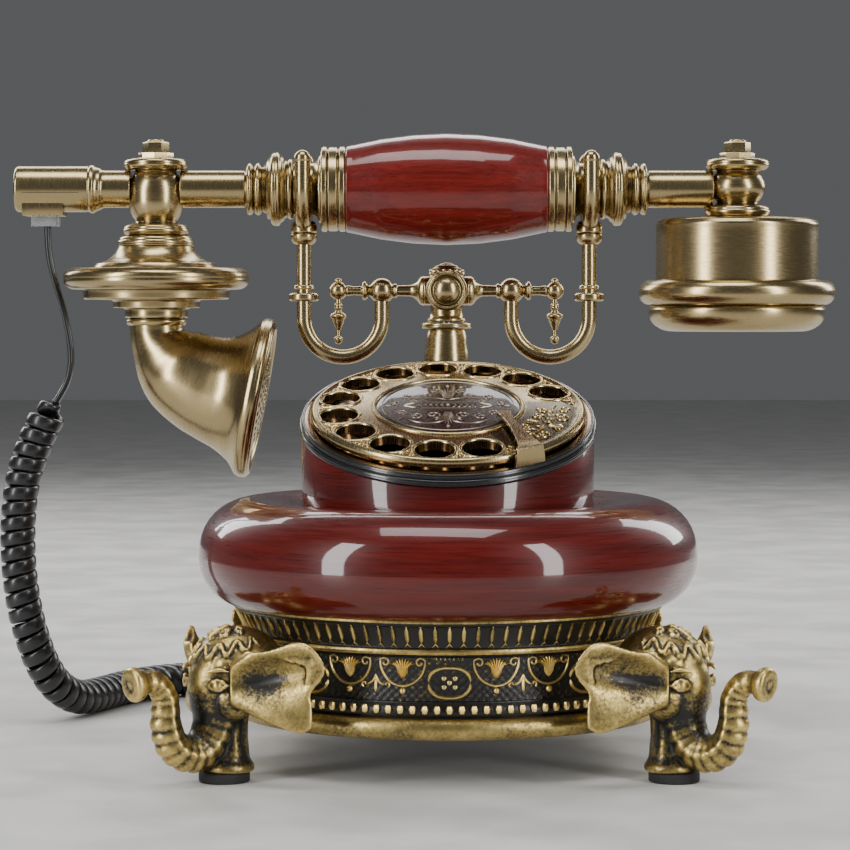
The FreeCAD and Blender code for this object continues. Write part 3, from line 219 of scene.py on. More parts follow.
def eased(points, corner):
    """A profile of (r, z) corners and (r, z, turn) arc ends as one row, each sharp corner eased.

    turn is the tangent of a quarter of the arc's angle. A corner becomes a short parabola that
    starts and ends at most the given distance from it.
    """
    places = [complex(point[0], point[1]) for point in points]
    closed = not (abs(places[0].real) < 1e-9 and abs(places[-1].real) < 1e-9)
    row, corners = [places[0]], [closed]
    follow = list(range(1, len(points))) + ([0] if closed else [])
    for index in follow:
        start, end = row[-1], places[index]
        turn = points[index][2] if len(points[index]) > 2 else 0.0
        made = [end] if turn == 0.0 else list(arc_row(start, end, turn))
        row += made
        corners += [False] * (len(made) - 1) + [True]
    if closed:
        row, corners = row[:-1], corners[:-1]
    corners[0] = closed
    if not closed:
        corners[-1] = False
    result = []
    for index, (place, is_corner) in enumerate(zip(row, corners)):
        before, after = row[index - 1], row[(index + 1) % len(row)]
        back, ahead = before - place, after - place
        bend = abs(np.angle(-ahead / back)) if is_corner and abs(back) > 0 and abs(ahead) > 0 else 0.0
        if bend < math.radians(18):
            result.append(place)
            continue
        first = place + back / abs(back) * min(corner, 0.4 * abs(back))
        last = place + ahead / abs(ahead) * min(corner, 0.4 * abs(ahead))
        part = np.linspace(0, 1, 4)
        result += list((1 - part) ** 2 * first + 2 * part * (1 - part) * place + part ** 2 * last)
    return np.array(result), closed


def spread_row(row, closed, most):
    """Add points on the long runs of a profile, so that none is longer than most."""
    ends = np.append(row, row[0]) if closed else row
    full = [np.linspace(a, b, max(1, math.ceil(abs(b - a) / most)), endpoint=False) for a,
            b in zip(ends, ends[1:])]
    made = np.concatenate(full)
    return made if closed else np.append(made, row[-1])


def across(along):
    """Two directions square to one another and to a given one."""
    along = np.asarray(along, float) / np.linalg.norm(along)
    side = np.cross(Y_AXIS if abs(along[1]) < 0.9 else X_AXIS, along)
    side /= np.linalg.norm(side)
    return along, side, np.cross(along, side)


def lathe(shell, points, at=(0, 0, 0), along=(0, 0, 1), around=128, corner=0.35, most=6.0, tone=0.5,
          slot=0, wave=None):
    """A profile of (radius, height) spun about its axis: a point is radius times a unit circle plus height.

    wave(angle, height) changes the radius where a shape is fluted or scalloped.
    """
    row, closed = eased(points, corner)
    row = spread_row(row, closed, most)
    angle = np.arange(around) * TURN / around
    radius, height = row.real[:, None], row.imag[:, None]
    if wave is not None:
        radius = radius + wave(angle[None, :], height) * (radius > 1e-6)
    along, side, other = across(along)
    ring = np.cos(angle)[None, :, None] * side + np.sin(angle)[None, :, None] * other
    grid = np.asarray(at, float) + radius[..., None] * ring + height[..., None] * along
    if callable(tone):
        tone = tone(grid)
    length = np.concatenate(([0.0], np.cumsum(np.abs(np.diff(row)))))
    radius = np.broadcast_to(radius, (len(row), around))
    lay = np.stack((np.broadcast_to(length[:, None], radius.shape), radius * np.cos(angle),
                    radius * np.sin(angle)),
                   axis=-1)
    shell.add(grid, closed, True, tone, lay, slot)
    return grid


def smooth_path(points, count):
    """A row of points through given ones: each span is a cubic whose ends share their neighbours' slope."""
    points = np.asarray(points, float)
    padded = np.vstack((2 * points[0] - points[1], points, 2 * points[-1] - points[-2]))
    where = np.linspace(0, len(points) - 1, count)
    span = np.minimum(where.astype(int), len(points) - 2)
    part = (where - span)[:, None]
    a, b, c, d = (padded[span + step] for step in range(4))
    return 0.5 * (2 * b + (c - a) * part + (2 * a - 5 * b + 4 * c - d) * part ** 2
                  + (3 * b - a - 3 * c + d) * part ** 3)


def tube_rings(path, radii, flat, sides, wave=None):
    """Rings square to a path whose curve lies nearly in the plane that flat is square to."""
    along = np.gradient(path, axis=0)
    along /= np.linalg.norm(along, axis=1)[:, None]
    side = np.cross(np.asarray(flat, float), along)
    side /= np.linalg.norm(side, axis=1)[:, None]
    other = np.cross(along, side)
    angle = np.arange(sides) * TURN / sides
    reach = np.broadcast_to(np.asarray(radii, float)[:, None], (len(path), sides))
    if wave is not None:
        part = np.linspace(0, 1, len(path))[:, None]
        reach = reach + wave(part, angle[None, :])
    return (path[:, None, :] + reach[..., None] * (np.cos(angle)[None, :, None] * side[:, None, :]
                                                   + np.sin(angle)[None, :, None] * other[:, None, :]))


def tube(shell, path, radii, flat=(0, 1, 0), sides=32, domed=True, tone=0.5, wave=None, slot=0):
    """A round tube: a circle carried along a path, its ends closed by a half ball or a flat disc."""
    path = np.asarray(path, float)
    radii = np.broadcast_to(np.asarray(radii, float), (len(path),))
    rings = tube_rings(path, radii, flat, sides, wave)
    along_start, along_end = path[0] - path[1], path[-1] - path[-2]
    swing = np.linspace(0, math.pi / 2, 7)[1:] if domed else np.array((0.0, math.pi / 2))
    end_rows = []
    for ring, middle, out, radius in ((rings[-1], path[-1], along_end, radii[-1]),
                                      (rings[0], path[0], along_start, radii[0])):
        out = out / np.linalg.norm(out)
        push = radius if domed else 0.0
        end_rows.append(middle + (ring - middle) * np.cos(swing)[:, None, None]
                        + out * push * np.sin(swing)[:, None, None])
    grid = np.concatenate((end_rows[1][::-1], rings, end_rows[0]))
    length = np.concatenate(([0.0], np.cumsum(np.linalg.norm(np.diff(grid.mean(axis=1), axis=0), axis=1))))
    angle = np.arange(sides) * TURN / sides
    lay = np.stack((np.broadcast_to(length[:, None], grid.shape[:2]),
                    np.broadcast_to(radii.mean() * np.cos(angle), grid.shape[:2]),
                    np.broadcast_to(radii.mean() * np.sin(angle), grid.shape[:2])), axis=-1)
    shell.add(grid, False, True, tone, lay, slot)
    return grid


def ball(shell, at, radius, sides=32, tone=0.5, squash=1.0, along=(0, 0, 1), slot=0):
    """A ball: rings whose radius is a cosine and whose height is a sine of the latitude."""
    latitude = np.linspace(-math.pi / 2, math.pi / 2, sides // 2 + 1)
    angle = np.arange(sides) * TURN / sides
    along, side, other = across(along)
    ring = np.cos(angle)[None, :, None] * side + np.sin(angle)[None, :, None] * other
    grid = (np.asarray(at, float) + radius * (np.cos(latitude)[:, None, None] * ring
                                              + squash * np.sin(latitude)[:, None, None] * along))
    shell.add(grid, False, True, tone, None, slot)


def slab(shell, outline, place, low, high, corner=0.4, tone=0.5, slot=0):
    """A flat piece: an outline drawn in towards its middle at both faces, with its edges eased.

    place(x, y, height) puts the flat points in space.
    """
    outline = np.asarray(outline, float)
    middle = outline.mean(axis=0)
    ahead = np.roll(outline, -1, axis=0) - np.roll(outline, 1, axis=0)
    inward = np.stack((-ahead[:, 1], ahead[:, 0]), axis=1)
    inward /= np.linalg.norm(inward, axis=1)[:, None]
    inward *= np.sign(((middle - outline) * inward).sum(axis=1).sum())
    insets = [(corner, low), (0.3 * corner, low + 0.3 * corner), (0.0, low + corner),
              (0.0, high - corner), (0.3 * corner, high - 0.3 * corner), (corner, high)]
    flat = [outline + inward * inset for inset, _ in insets]
    flat = [flat[0] * 0 + middle] + flat + [flat[-1] * 0 + middle]
    heights = [low] + [height for _, height in insets] + [high]
    plan = np.array(flat)
    tall = np.broadcast_to(np.array(heights)[:, None], plan.shape[:2])
    shell.add(place(plan[..., 0], plan[..., 1], tall), False, True, tone, None, slot)


def ribbon(shell, path, width, rise, place, sides=6, sink=0.25, tone=0.9, slot=0):
    """A raised stroke of relief: a half oval carried along a flat path, tapered to nothing at its ends.

    width and rise are the stroke's full width and height; place(x, y, height) lays it on its ground.
    """
    path = np.asarray(path, float)
    ahead = np.gradient(path, axis=0)
    ahead /= np.maximum(np.linalg.norm(ahead, axis=1), 1e-9)[:, None]
    left = np.stack((-ahead[:, 1], ahead[:, 0]), axis=1)
    part = np.linspace(0, 1, len(path))
    taper = np.clip(np.minimum(part, 1 - part) * 8, 0, 1) ** 0.5
    half = np.broadcast_to(np.asarray(width, float), part.shape) * 0.5 * taper
    swing = np.linspace(0, math.pi, sides)
    over = np.concatenate((np.cos(swing), (-0.9, 0.9)))
    lift = np.concatenate((np.sin(swing) * rise, (-sink, -sink)))
    plan = path[:, None, :] + left[:, None, :] * (half[:, None] * over)[..., None]
    tall = np.broadcast_to(lift[None, :] * np.maximum(taper[:, None], 0.15), plan.shape[:2])
    shell.add(place(plan[..., 0], plan[..., 1], tall), False, True, tone, None, slot)


def scroll(middle, start, end, turns, first, count=28):
    """A flat spiral: the radius runs from start to end while the angle turns."""
    angle = first + np.linspace(0, turns * TURN, count)
    radius = np.linspace(start, end, count)
    return np.stack((middle[0] + radius * np.cos(angle), middle[1] + radius * np.sin(angle)), axis=1)


def bow(start, end, sag, count=12):
    """A flat bow from start to end that stands off its chord by sag at its middle."""
    start, end = np.asarray(start, float), np.asarray(end, float)
    part = np.linspace(0, 1, count)[:, None]
    chord = end - start
    left = np.array((-chord[1], chord[0])) / max(np.linalg.norm(chord), 1e-9)
    return start + chord * part + left * sag * 4 * part * (1 - part)


# ---------------------------------------------------------------- what a user would change
def length(label, about, value):
    return FloatProperty(name=label, description=about, default=value / MM, unit="LENGTH", precision=4)


def tint(label, about, value):
    return FloatVectorProperty(name=label, description=about, default=value, subtype="COLOR", size=3, min=0,
                               max=1)


class TelephoneSizes(bpy.types.PropertyGroup):
    """Sizes of the dressed pieces that a maker may want to change."""
    coil_reach: length("Coil radius", "Radius of the curly cord's middle line", 5.7)
    coil_pitch: length("Coil pitch", "Distance from one turn of the curly cord to the next", 5.9)
    cable_width: length("Cable width", "Width of the flat cable", 5.5)
    cable_thick: length("Cable thickness", "Thickness of the flat cable", 2.6)
    lip_width: length("Hole lip", "Width of the raised lip round each finger hole", 1.5)
    stroke_width: length("Stroke width", "Width of the raised strokes on the plinth", 0.85)
    tongues: IntProperty(name="Tongues", description="Upright tongues round the top of the plinth",
                         default=98)
    beads: IntProperty(name="Beads", description="Beads round the foot of the plinth's frieze", default=112)


class TelephoneColours(bpy.types.PropertyGroup):
    """Colours of the finishes."""
    brass: tint("Brass", "Bright toned brass", (0.42, 0.325, 0.165))
    brass_dark: tint("Toned brass", "Brass in its hollows", (0.035, 0.024, 0.010))
    gold: tint("Gold paint", "Rubbed gold on the resin casting", (0.56, 0.42, 0.15))
    black: tint("Black ground", "Black under the gold", (0.010, 0.009, 0.007))
    lacquer: tint("Lacquer", "Deep red lacquer", (0.090, 0.005, 0.003))
    wood: tint("Wood", "Red lacquered wood", (0.125, 0.007, 0.004))
    copper: tint("Copper", "Polished copper number plate", (0.26, 0.155, 0.085))
    maroon: tint("Maroon", "Dark enamel of the medallion", (0.012, 0.004, 0.003))
    pewter: tint("Pewter", "Silvered relief of the medallion", (0.27, 0.225, 0.18))
    cord: tint("Cord", "Black sheath of the cord", (0.008, 0.008, 0.009))
    floor: tint("Floor", "Pale table top", (0.62, 0.61, 0.59))


def sizes():
    return bpy.context.scene.telephone_sizes


def colours():
    return bpy.context.scene.telephone_colours


# ---------------------------------------------------------------- finishes
class Finish:
    """One procedural finish: the shader's own sockets hold what is uniform, and nodes the rest."""

    def __init__(self, name, color, rough, metal=0.0, **more):
        self.made = bpy.data.materials.new(name)
        self.made.use_nodes = True
        self.tree = self.made.node_tree
        self.shader = self.tree.nodes["Principled BSDF"]
        self.shader.inputs["Base Color"].default_value = (*color, 1.0)
        self.shader.inputs["Roughness"].default_value = rough
        self.shader.inputs["Metallic"].default_value = metal
        for socket, value in more.items():
            self.shader.inputs[socket.replace("_", " ")].default_value = value

    def node(self, kind, inputs=(), **settings):
        made = self.tree.nodes.new(kind)
        for setting, value in settings.items():
            setattr(made, setting, value)
        for socket, value in dict(inputs).items():
            if isinstance(value, bpy.types.NodeSocket):
                self.tree.links.new(value, made.inputs[socket])
            else:
                made.inputs[socket].default_value = value
        return made

    def gilt(self):
        return self.node("ShaderNodeAttribute", attribute_name="gilt").outputs["Fac"]

    def where(self, stretch=(1, 1, 1), lay=False):
        """Places on the piece in millimetres, stretched along the axes."""
        if lay:
            source = self.node("ShaderNodeAttribute", attribute_name="lay").outputs["Vector"]
            scale = stretch
        else:
            source = self.node("ShaderNodeTexCoord").outputs["Object"]
            scale = tuple(MM * n for n in stretch)
        return self.node("ShaderNodeMapping", {"Vector": source, "Scale": scale}).outputs["Vector"]

    def noise(self, where, scale, detail=3.0, rough=0.55, distortion=0.0):
        return self.node("ShaderNodeTexNoise", {"Vector": where, "Scale": scale, "Detail": detail,
                                                "Roughness": rough, "Distortion": distortion}).outputs["Fac"]

    def fit(self, value, low, high, to_low=0.0, to_high=1.0):
        return self.node("ShaderNodeMapRange", {"Value": value, "From Min": low, "From Max": high,
                                                "To Min": to_low, "To Max": to_high},
                                                interpolation_type="SMOOTHSTEP").outputs["Result"]

    def maths(self, how, a, b):
        return self.node("ShaderNodeMath", {0: a, 1: b}, operation=how).outputs[0]

    def mix(self, part, a, b):
        made = self.node("ShaderNodeMix", data_type="RGBA")
        for socket, value in ((0, part), (6, a), (7, b)):
            if isinstance(value, bpy.types.NodeSocket):
                self.tree.links.new(value, made.inputs[socket])
            else:
                made.inputs[socket].default_value = (*value, 1.0)
        return made.outputs[2]

    def feed(self, **sockets):
        for socket, value in sockets.items():
            self.tree.links.new(value, self.shader.inputs[socket.replace("_", " ")])
        return self

    def bump(self, height, strength, distance=0.0002):
        made = self.node("ShaderNodeBump", {"Height": height, "Strength": strength, "Distance": distance})
        return self.feed(Normal=made.outputs["Normal"])


def lighter(color, times):
    return tuple(min(1.0, part * times) for part in color)


def brass_finish(name, spread=1.0):
    """Toned brass: dark in the hollows, bright on worn edges, with fine marks round the turning."""
    tones = colours()
    made = Finish(name, tones.brass, 0.3, 1.0)
    lines = made.noise(made.where((9.0, 0.22, 0.22), lay=True), 1.0, 4.0, 0.7)
    cloud = made.noise(made.where((0.07, 0.07, 0.07)), 1.0, 3.0)
    worn = made.maths("ADD", made.gilt(), made.maths("MULTIPLY", made.maths("SUBTRACT", cloud, 0.5),
                                                     0.35 * spread))
    body = made.mix(made.fit(worn, 0.05, 0.48), tuple(tones.brass_dark), tuple(tones.brass))
    bright = made.mix(made.fit(worn, 0.55, 0.95), body, lighter(tones.brass, 1.55))
    streak = made.mix(made.fit(lines, 0.3, 0.7, 0.0, 0.2), bright, lighter(tones.brass, 0.62))
    made.feed(Base_Color=streak, Roughness=made.fit(lines, 0.25, 0.75, 0.18, 0.31))
    return made.bump(lines, 0.08, 0.00003).made


def resin_finish():
    """Gold paint rubbed back over a black casting: gold where it stands proud, black in the hollows."""
    tones = colours()
    made = Finish("antiqued_resin", tones.gold, 0.35, 1.0)
    grain = made.noise(made.where((0.9, 0.9, 0.9)), 1.0, 5.0, 0.65)
    patch = made.noise(made.where((0.13, 0.13, 0.13)), 1.0, 3.0)
    loss = made.maths("ADD", made.maths("MULTIPLY", grain, 0.75), made.maths("MULTIPLY", patch, 0.6))
    worn = made.maths("SUBTRACT", made.gilt(), made.maths("SUBTRACT", loss, 0.675))
    cover = made.fit(worn, 0.36, 0.60)
    gold = made.mix(made.fit(worn, 0.5, 1.0), lighter(tones.gold, 0.55), lighter(tones.gold, 1.4))
    made.feed(Base_Color=made.mix(cover, tuple(tones.black), gold),
              Metallic=made.fit(cover, 0.0, 1.0, 0.1, 1.0), Roughness=made.fit(grain, 0.3, 0.7, 0.27, 0.46))
    return made.bump(grain, 0.35, 0.0003).made


def lacquer_finish(name, color, stretch):
    """Red lacquer over fine streaks, under a clear gloss coat."""
    made = Finish(name, color, 0.32, 0.0, Coat_Weight=1.0, Coat_Roughness=0.05, Coat_IOR=1.45,
                  Specular_IOR_Level=0.2)
    streak = made.noise(made.where(stretch), 1.0, 6.0, 0.62, 0.4)
    fine = made.noise(made.where(tuple(5 * n for n in stretch)), 1.0, 3.0, 0.6)
    grain = made.maths("ADD", made.maths("MULTIPLY", streak, 0.7), made.maths("MULTIPLY", fine, 0.3))
    made.feed(Base_Color=made.mix(made.fit(grain, 0.34, 0.66), lighter(color, 0.7), lighter(color, 1.3)),
              Roughness=made.fit(fine, 0.3, 0.7, 0.26, 0.42))
    return made.bump(fine, 0.05, 0.00003).made


def plain_finish(name, color, rough, metal=0.0, scale=0.6, depth=0.15, shade=0.8, **more):
    """A moulded or machined finish with a slight mottle in its colour, roughness and surface."""
    made = Finish(name, color, rough, metal, **more)
    grain = made.noise(made.where((1, 1, 1)), scale, 4.0)
    made.feed(Base_Color=made.mix(made.fit(grain, 0.35, 0.65), lighter(color, shade), lighter(color, 1.12)),
              Roughness=made.fit(grain, 0.3, 0.7, rough * 0.85, min(1.0, rough * 1.15)))
    return made.bump(grain, depth, 0.00008).made


def pewter_finish():
    """Silvered relief, dark in its hollows."""
    tone = colours().pewter
    made = Finish("pewter_relief", tone, 0.34, 1.0)
    made.feed(Base_Color=made.mix(made.fit(made.gilt(), 0.25, 0.8), lighter(tone, 0.25), lighter(tone, 1.3)))
    grain = made.noise(made.where((1, 1, 1)), 1.5, 3.0)
    return made.bump(grain, 0.15, 0.00005).made


def board_finish():
    """Green solder mask with copper tracks that run in steps across it."""
    made = Finish("board_green", (0.012, 0.10, 0.035), 0.4)
    cells = made.node("ShaderNodeTexBrick", {"Vector": made.where((0.2, 0.2, 0.2)), "Scale": 1.0,
                                             "Mortar Size": 0.03, "Color1": (0.012, 0.10, 0.035, 1),
                                             "Color2": (0.016, 0.12, 0.045, 1),
                                             "Mortar": (0.10, 0.26, 0.08, 1)})
    return made.feed(Base_Color=cells.outputs["Color"]).made


FINISH_MAKERS = {
    "antique_brass": lambda: brass_finish("antique_brass"),
    "antiqued_resin": resin_finish,
    "red_lacquer": lambda: lacquer_finish("red_lacquer", tuple(colours().lacquer), (0.012, 0.012, 0.33)),
    "red_lacquer_wood": lambda: lacquer_finish("red_lacquer_wood", tuple(colours().wood), (0.02, 0.45, 0.45)),
    "black_moulding": lambda: plain_finish("black_moulding", (0.012, 0.012, 0.013), 0.22, Coat_Weight=0.4),
    "copper_plate": lambda: plain_finish("copper_plate", tuple(colours().copper), 0.14, 1.0, scale=0.15),
    "maroon_enamel": lambda: plain_finish("maroon_enamel", tuple(colours().maroon), 0.3, Coat_Weight=0.6),
    "pewter_relief": pewter_finish,
    "steel_plate": lambda: plain_finish("steel_plate", (0.46, 0.46, 0.47), 0.33, 1.0, scale=0.9),
    "gear_brass": lambda: plain_finish("gear_brass", (0.62, 0.45, 0.18), 0.3, 1.0, scale=1.2),
    "spring_steel": lambda: plain_finish("spring_steel", (0.36, 0.36, 0.38), 0.25, 1.0, scale=1.5),
    "rubber_pad": lambda: plain_finish("rubber_pad", (0.02, 0.02, 0.02), 0.8, scale=1.0, depth=0.4),
    "board_green": board_finish,
    "brass_dark": lambda: plain_finish("brass_dark", (0.34, 0.26, 0.13), 0.4, 1.0),
    "clear_plug": lambda: plain_finish("clear_plug", (0.80, 0.82, 0.82), 0.12, Transmission_Weight=0.75,
                                       IOR=1.45),
    "cord_black": lambda: plain_finish("cord_black", tuple(colours().cord), 0.36, scale=2.0, depth=0.25,
                                       Coat_Weight=0.25),
    "dial_ink": lambda: plain_finish("dial_ink", (0.006, 0.006, 0.007), 0.35),
    "socket_dark": lambda: plain_finish("socket_dark", (0.004, 0.004, 0.004), 0.6),
}
FINISHES = {}


def finish(name):
    if name not in FINISHES:
        FINISHES[name] = FINISH_MAKERS[name]()
    return FINISHES[name]


def dress_node(name, finish_name):
    """Give a CAD piece that stays in view its finish."""
    piece = frame["nodes"][name]
    piece.data.materials.clear()
    piece.data.materials.append(finish(finish_name))


# ---------------------------------------------------------------- stage
CAMERA_AT = (-8.48, -1078.5, 167.0)
CAMERA_PITCH = 2.3734
CAMERA_LENS = 123.657
LIGHTS = [  # name, place, aim, width, height, power
    ("left_box", (-1150, -900, 620), (0, 0, 130), 300, 1300, 17.0),
    ("right_box", (1050, -1000, 640), (0, 0, 130), 260, 1300, 14.0),
    ("top_box", (-60, -260, 1350), (0, 20, 120), 800, 500, 8.0),
    ("dial_box", (0, 1000, 980), (0, 0, 120), 1100, 420, 7.0),
    ("rear_left", (-900, 1000, 800), (0, 0, 120), 400, 900, 9.0),
    ("rear_right", (1000, 900, 700), (0, 0, 120), 400, 900, 8.0),
]


class TELEPHONE_OT_stage(bpy.types.Operator):
    """Set up the camera, the pale table top, and soft lights on all sides"""
    bl_idname = "telephone.stage"
    bl_label = "Stage"

    def execute(self, context):
        scene = context.scene
        camera = bpy.data.objects.new("camera", bpy.data.cameras.new("camera"))
        camera.location = [n / MM for n in CAMERA_AT]
        camera.rotation_euler = (math.radians(90 - CAMERA_PITCH), 0, 0)
        camera.data.lens = CAMERA_LENS
        camera.data.sensor_width = 36.0
        camera.data.clip_end = 50.0
        scene.collection.objects.link(camera)
        scene.camera = camera
        world = bpy.data.worlds.new("studio")
        world.use_nodes = True
        world.node_tree.nodes["Background"].inputs["Color"].default_value = (0.86, 0.88, 0.92, 1.0)
        world.node_tree.nodes["Background"].inputs["Strength"].default_value = 0.12
        scene.world = world
        for name, place, aim, width, height, power in LIGHTS:
            light = bpy.data.lights.new(name, "AREA")
            light.shape = "RECTANGLE"
            light.size, light.size_y, light.energy = width / MM, height / MM, power
            lamp = bpy.data.objects.new(name, light)
            lamp.location = [n / MM for n in place]
            lamp.rotation_euler = (Vector(aim) - Vector(place)).to_track_quat("-Z", "Y").to_euler()
            scene.collection.objects.link(lamp)
        reach = 4000.0
        corners = np.array([[(-reach, -reach, 0.0), (reach, -reach, 0.0)],
                            [(-reach, reach, 0.0), (reach, reach, 0.0)]])
        mesh = bpy.data.meshes.new("table_top")
        mesh.from_pydata((corners.reshape(-1, 3) / MM).tolist(), [], [(0, 1, 3, 2)])
        floor = bpy.data.objects.new("table_top", mesh)
        mesh.materials.append(plain_finish("pale_floor", tuple(colours().floor), 0.5, scale=0.02, shade=0.97))
        scene.collection.objects.link(floor)
        return {"FINISHED"}


# ---------------------------------------------------------------- cord
LEAD_ROUTE = [(-156.6, 70.0, 197.4), (-156.6, 70.0, 189.0), (-154.6, 70.0, 178.0), (-149.8, 70.0, 162.0),
              (-147.2, 70.0, 147.0), (-148.6, 70.0, 137.0), (-153.0, 70.0, 129.6)]
COIL_ROUTE = [(-153.0, 70.0, 129.6), (-160.0, 70.0, 117.827), (-166.6, 70.0, 101.0), (-169.2, 70.0, 82.0),
              (-168.8, 70.0, 60.0), (-165.0, 71.0, 38.0), (-158.4, 78.0, 18.0), (-150.0, 93.0, 8.0),
              (-142.6, 112.0, 7.1), (-135.4, 134.0, 7.1), (-124.0, 154.0, 7.1), (-104.0, 166.0, 7.1),
              (-80.0, 164.0, 7.1), (-60.0, 149.0, 7.2), (-46.0, 131.0, 9.0)]
TAIL_ROUTE = [(-46.0, 131.0, 9.0), (-38.0, 120.714, 10.029), (-22.0, 110.0, 18.0), (-10.0, 101.0, 28.0),
              (-8.0, 92.0, 32.2), (-8.0, 83.0, 32.2)]


def spline_points(points, step):
    """Evenly spaced points read from a NURBS line that has the given control points."""
    curve = bpy.data.curves.new("route", "CURVE")
    curve.dimensions = "3D"
    spline = curve.splines.new("NURBS")
    spline.points.add(len(points) - 1)
    spline.order_u = 3
    spline.use_endpoint_u = True
    spline.resolution_u = 24
    holder = bpy.data.objects.new("route", curve)
    for index, point in enumerate(points):
        spline.points[index].co = (*(n / MM for n in point), 1.0)
    mesh = bpy.data.meshes.new_from_object(holder)
    line = read(mesh.vertices, "co", 3).astype(float) * MM
    bpy.data.objects.remove(holder)
    bpy.data.curves.remove(curve)
    bpy.data.meshes.remove(mesh)
    gone = np.concatenate(([0.0], np.cumsum(np.linalg.norm(np.diff(line, axis=0), axis=1))))
    even = np.linspace(0, gone[-1], int(gone[-1] / step) + 1)
    return np.stack([np.interp(even, gone, line[:, axis]) for axis in range(3)], axis=1)


def steady_frames(line):
    """Two directions square to a line at each point, carried along it without twist."""
    along = np.gradient(line, axis=0)
    along /= np.linalg.norm(along, axis=1)[:, None]
    sides = [np.cross(Y_AXIS, along[0])]
    for way in along[1:]:
        side = sides[-1] - way * np.dot(sides[-1], way)
        sides.append(side / np.linalg.norm(side))
    sides = np.array(sides)
    sides[0] /= np.linalg.norm(sides[0])
    return along, sides, np.cross(along, sides)


class TELEPHONE_OT_cord(bpy.types.Operator):
    """Make the flat lead, the curly length and the lead into the rear socket as one flat cable"""
    bl_idname = "telephone.cord"
    bl_label = "Curly cord"

    def execute(self, context):
        given = sizes()
        reach, pitch = given.coil_reach * MM, given.coil_pitch * MM
        half_wide, half_thick = given.cable_width * MM / 2, given.cable_thick * MM / 2
        line = spline_points(LEAD_ROUTE + COIL_ROUTE[1:] + TAIL_ROUTE[1:], 0.2)
        gone = np.arange(len(line)) * 0.2
        coil_from = gone[np.argmin(np.linalg.norm(line - np.array(COIL_ROUTE[0]), axis=1))]
        coil_to = gone[np.argmin(np.linalg.norm(line - np.array(TAIL_ROUTE[0]), axis=1))]
        along, side, other = steady_frames(line)
        in_coil = (gone >= coil_from) & (gone <= coil_to)
        keep = np.where(in_coil | (np.arange(len(line)) % 6 == 0))[0]
        line, gone, along, side, other = (rows[keep] for rows in (line, gone, along, side, other))
        # a turn every pitch of the coil's own length, its radius growing from nothing at both ends
        inside = np.clip(gone - coil_from, 0, coil_to - coil_from)
        swell = np.clip(np.minimum(inside, coil_to - coil_from - inside) / 9.0, 0, 1)
        swell = swell * swell * (3 - 2 * swell)
        swing = TURN * inside / pitch
        round_line = np.cos(swing)[:, None] * side + np.sin(swing)[:, None] * other
        path = line + (reach * swell)[:, None] * round_line
        wide = along * swell[:, None] + np.where(gone < coil_from + 20, 1.0,
                                                 0.0)[:, None] * other * (1 - swell[:, None])
        wide += np.where(gone < coil_from + 20, 0.0, 1.0)[:, None] * side * (1 - swell[:, None])
        ahead = np.gradient(path, axis=0)
        ahead /= np.linalg.norm(ahead, axis=1)[:, None]
        wide -= ahead * (wide * ahead).sum(axis=1)[:, None]
        wide /= np.linalg.norm(wide, axis=1)[:, None]
        thick = np.cross(ahead, wide)
        # the section is an oval squared off by raising its cosine and sine to a power
        angle = np.arange(12) * TURN / 12
        out = np.sign(np.cos(angle)) * np.abs(np.cos(angle)) ** 0.6 * half_wide
        up = np.sign(np.sin(angle)) * np.abs(np.sin(angle)) ** 0.8 * half_thick
        grid = (path[:, None, :] + out[None, :, None] * wide[:, None, :]
                + up[None, :, None] * thick[:, None, :])
        grid = np.concatenate((grid[:1] * 0 + path[0], grid, grid[:1] * 0 + path[-1]))
        shell = Shell()
        shell.add(grid, False, True)
        cord = shell.build("curly_cord", [finish("cord_black")], "base", relief=0.0, sharp=60)
        cord.parent = None
        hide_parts("cord_lead", "cord_coil", "cord_tail")
        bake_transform(cord)
        return {"FINISHED"}


# ---------------------------------------------------------------- plinth
PLINTH_PROFILE = [
    (71.0, 0.0), (78.0, 0.0), (78.0, 7.2, 0.6), (76.0, 7.4), (76.0, 11.4, 0.3), (75.0, 12.6),
    (74.4, 21.0, -0.06), (75.0, 29.0, -0.06), (76.6, 29.4), (76.6, 31.2, 0.4), (75.4, 31.6),
    (78.4, 39.1, -0.12), (79.7, 41.7, 0.5), (40.0, 41.7), (40.0, 37.7), (70.0, 37.7), (71.0, 31.7)]
GROUND_Z = np.array((0.0, 3.6, 7.3, 11.4, 12.6, 21.0, 29.0, 29.4, 31.2, 31.6, 35.0, 39.1, 41.7))
GROUND_R = np.array((78.0, 80.4, 77.0, 76.0, 75.0, 74.4, 75.0, 76.6, 76.8, 75.4, 76.2, 78.4, 79.7))
FRIEZE_RADIUS = 75.0
REPEATS = 9


def on_plinth(run, up, proud):
    """Points round the plinth: a run along it from the front middle, a height, and a distance proud."""
    run, up, proud = np.broadcast_arrays(*(np.asarray(n, float) for n in (run, up, proud)))
    radius = np.interp(up, GROUND_Z, GROUND_R) + proud
    angle = run / FRIEZE_RADIUS
    return np.stack((radius * np.sin(angle), -radius * np.cos(angle), PLINTH_LOW + up), axis=-1)


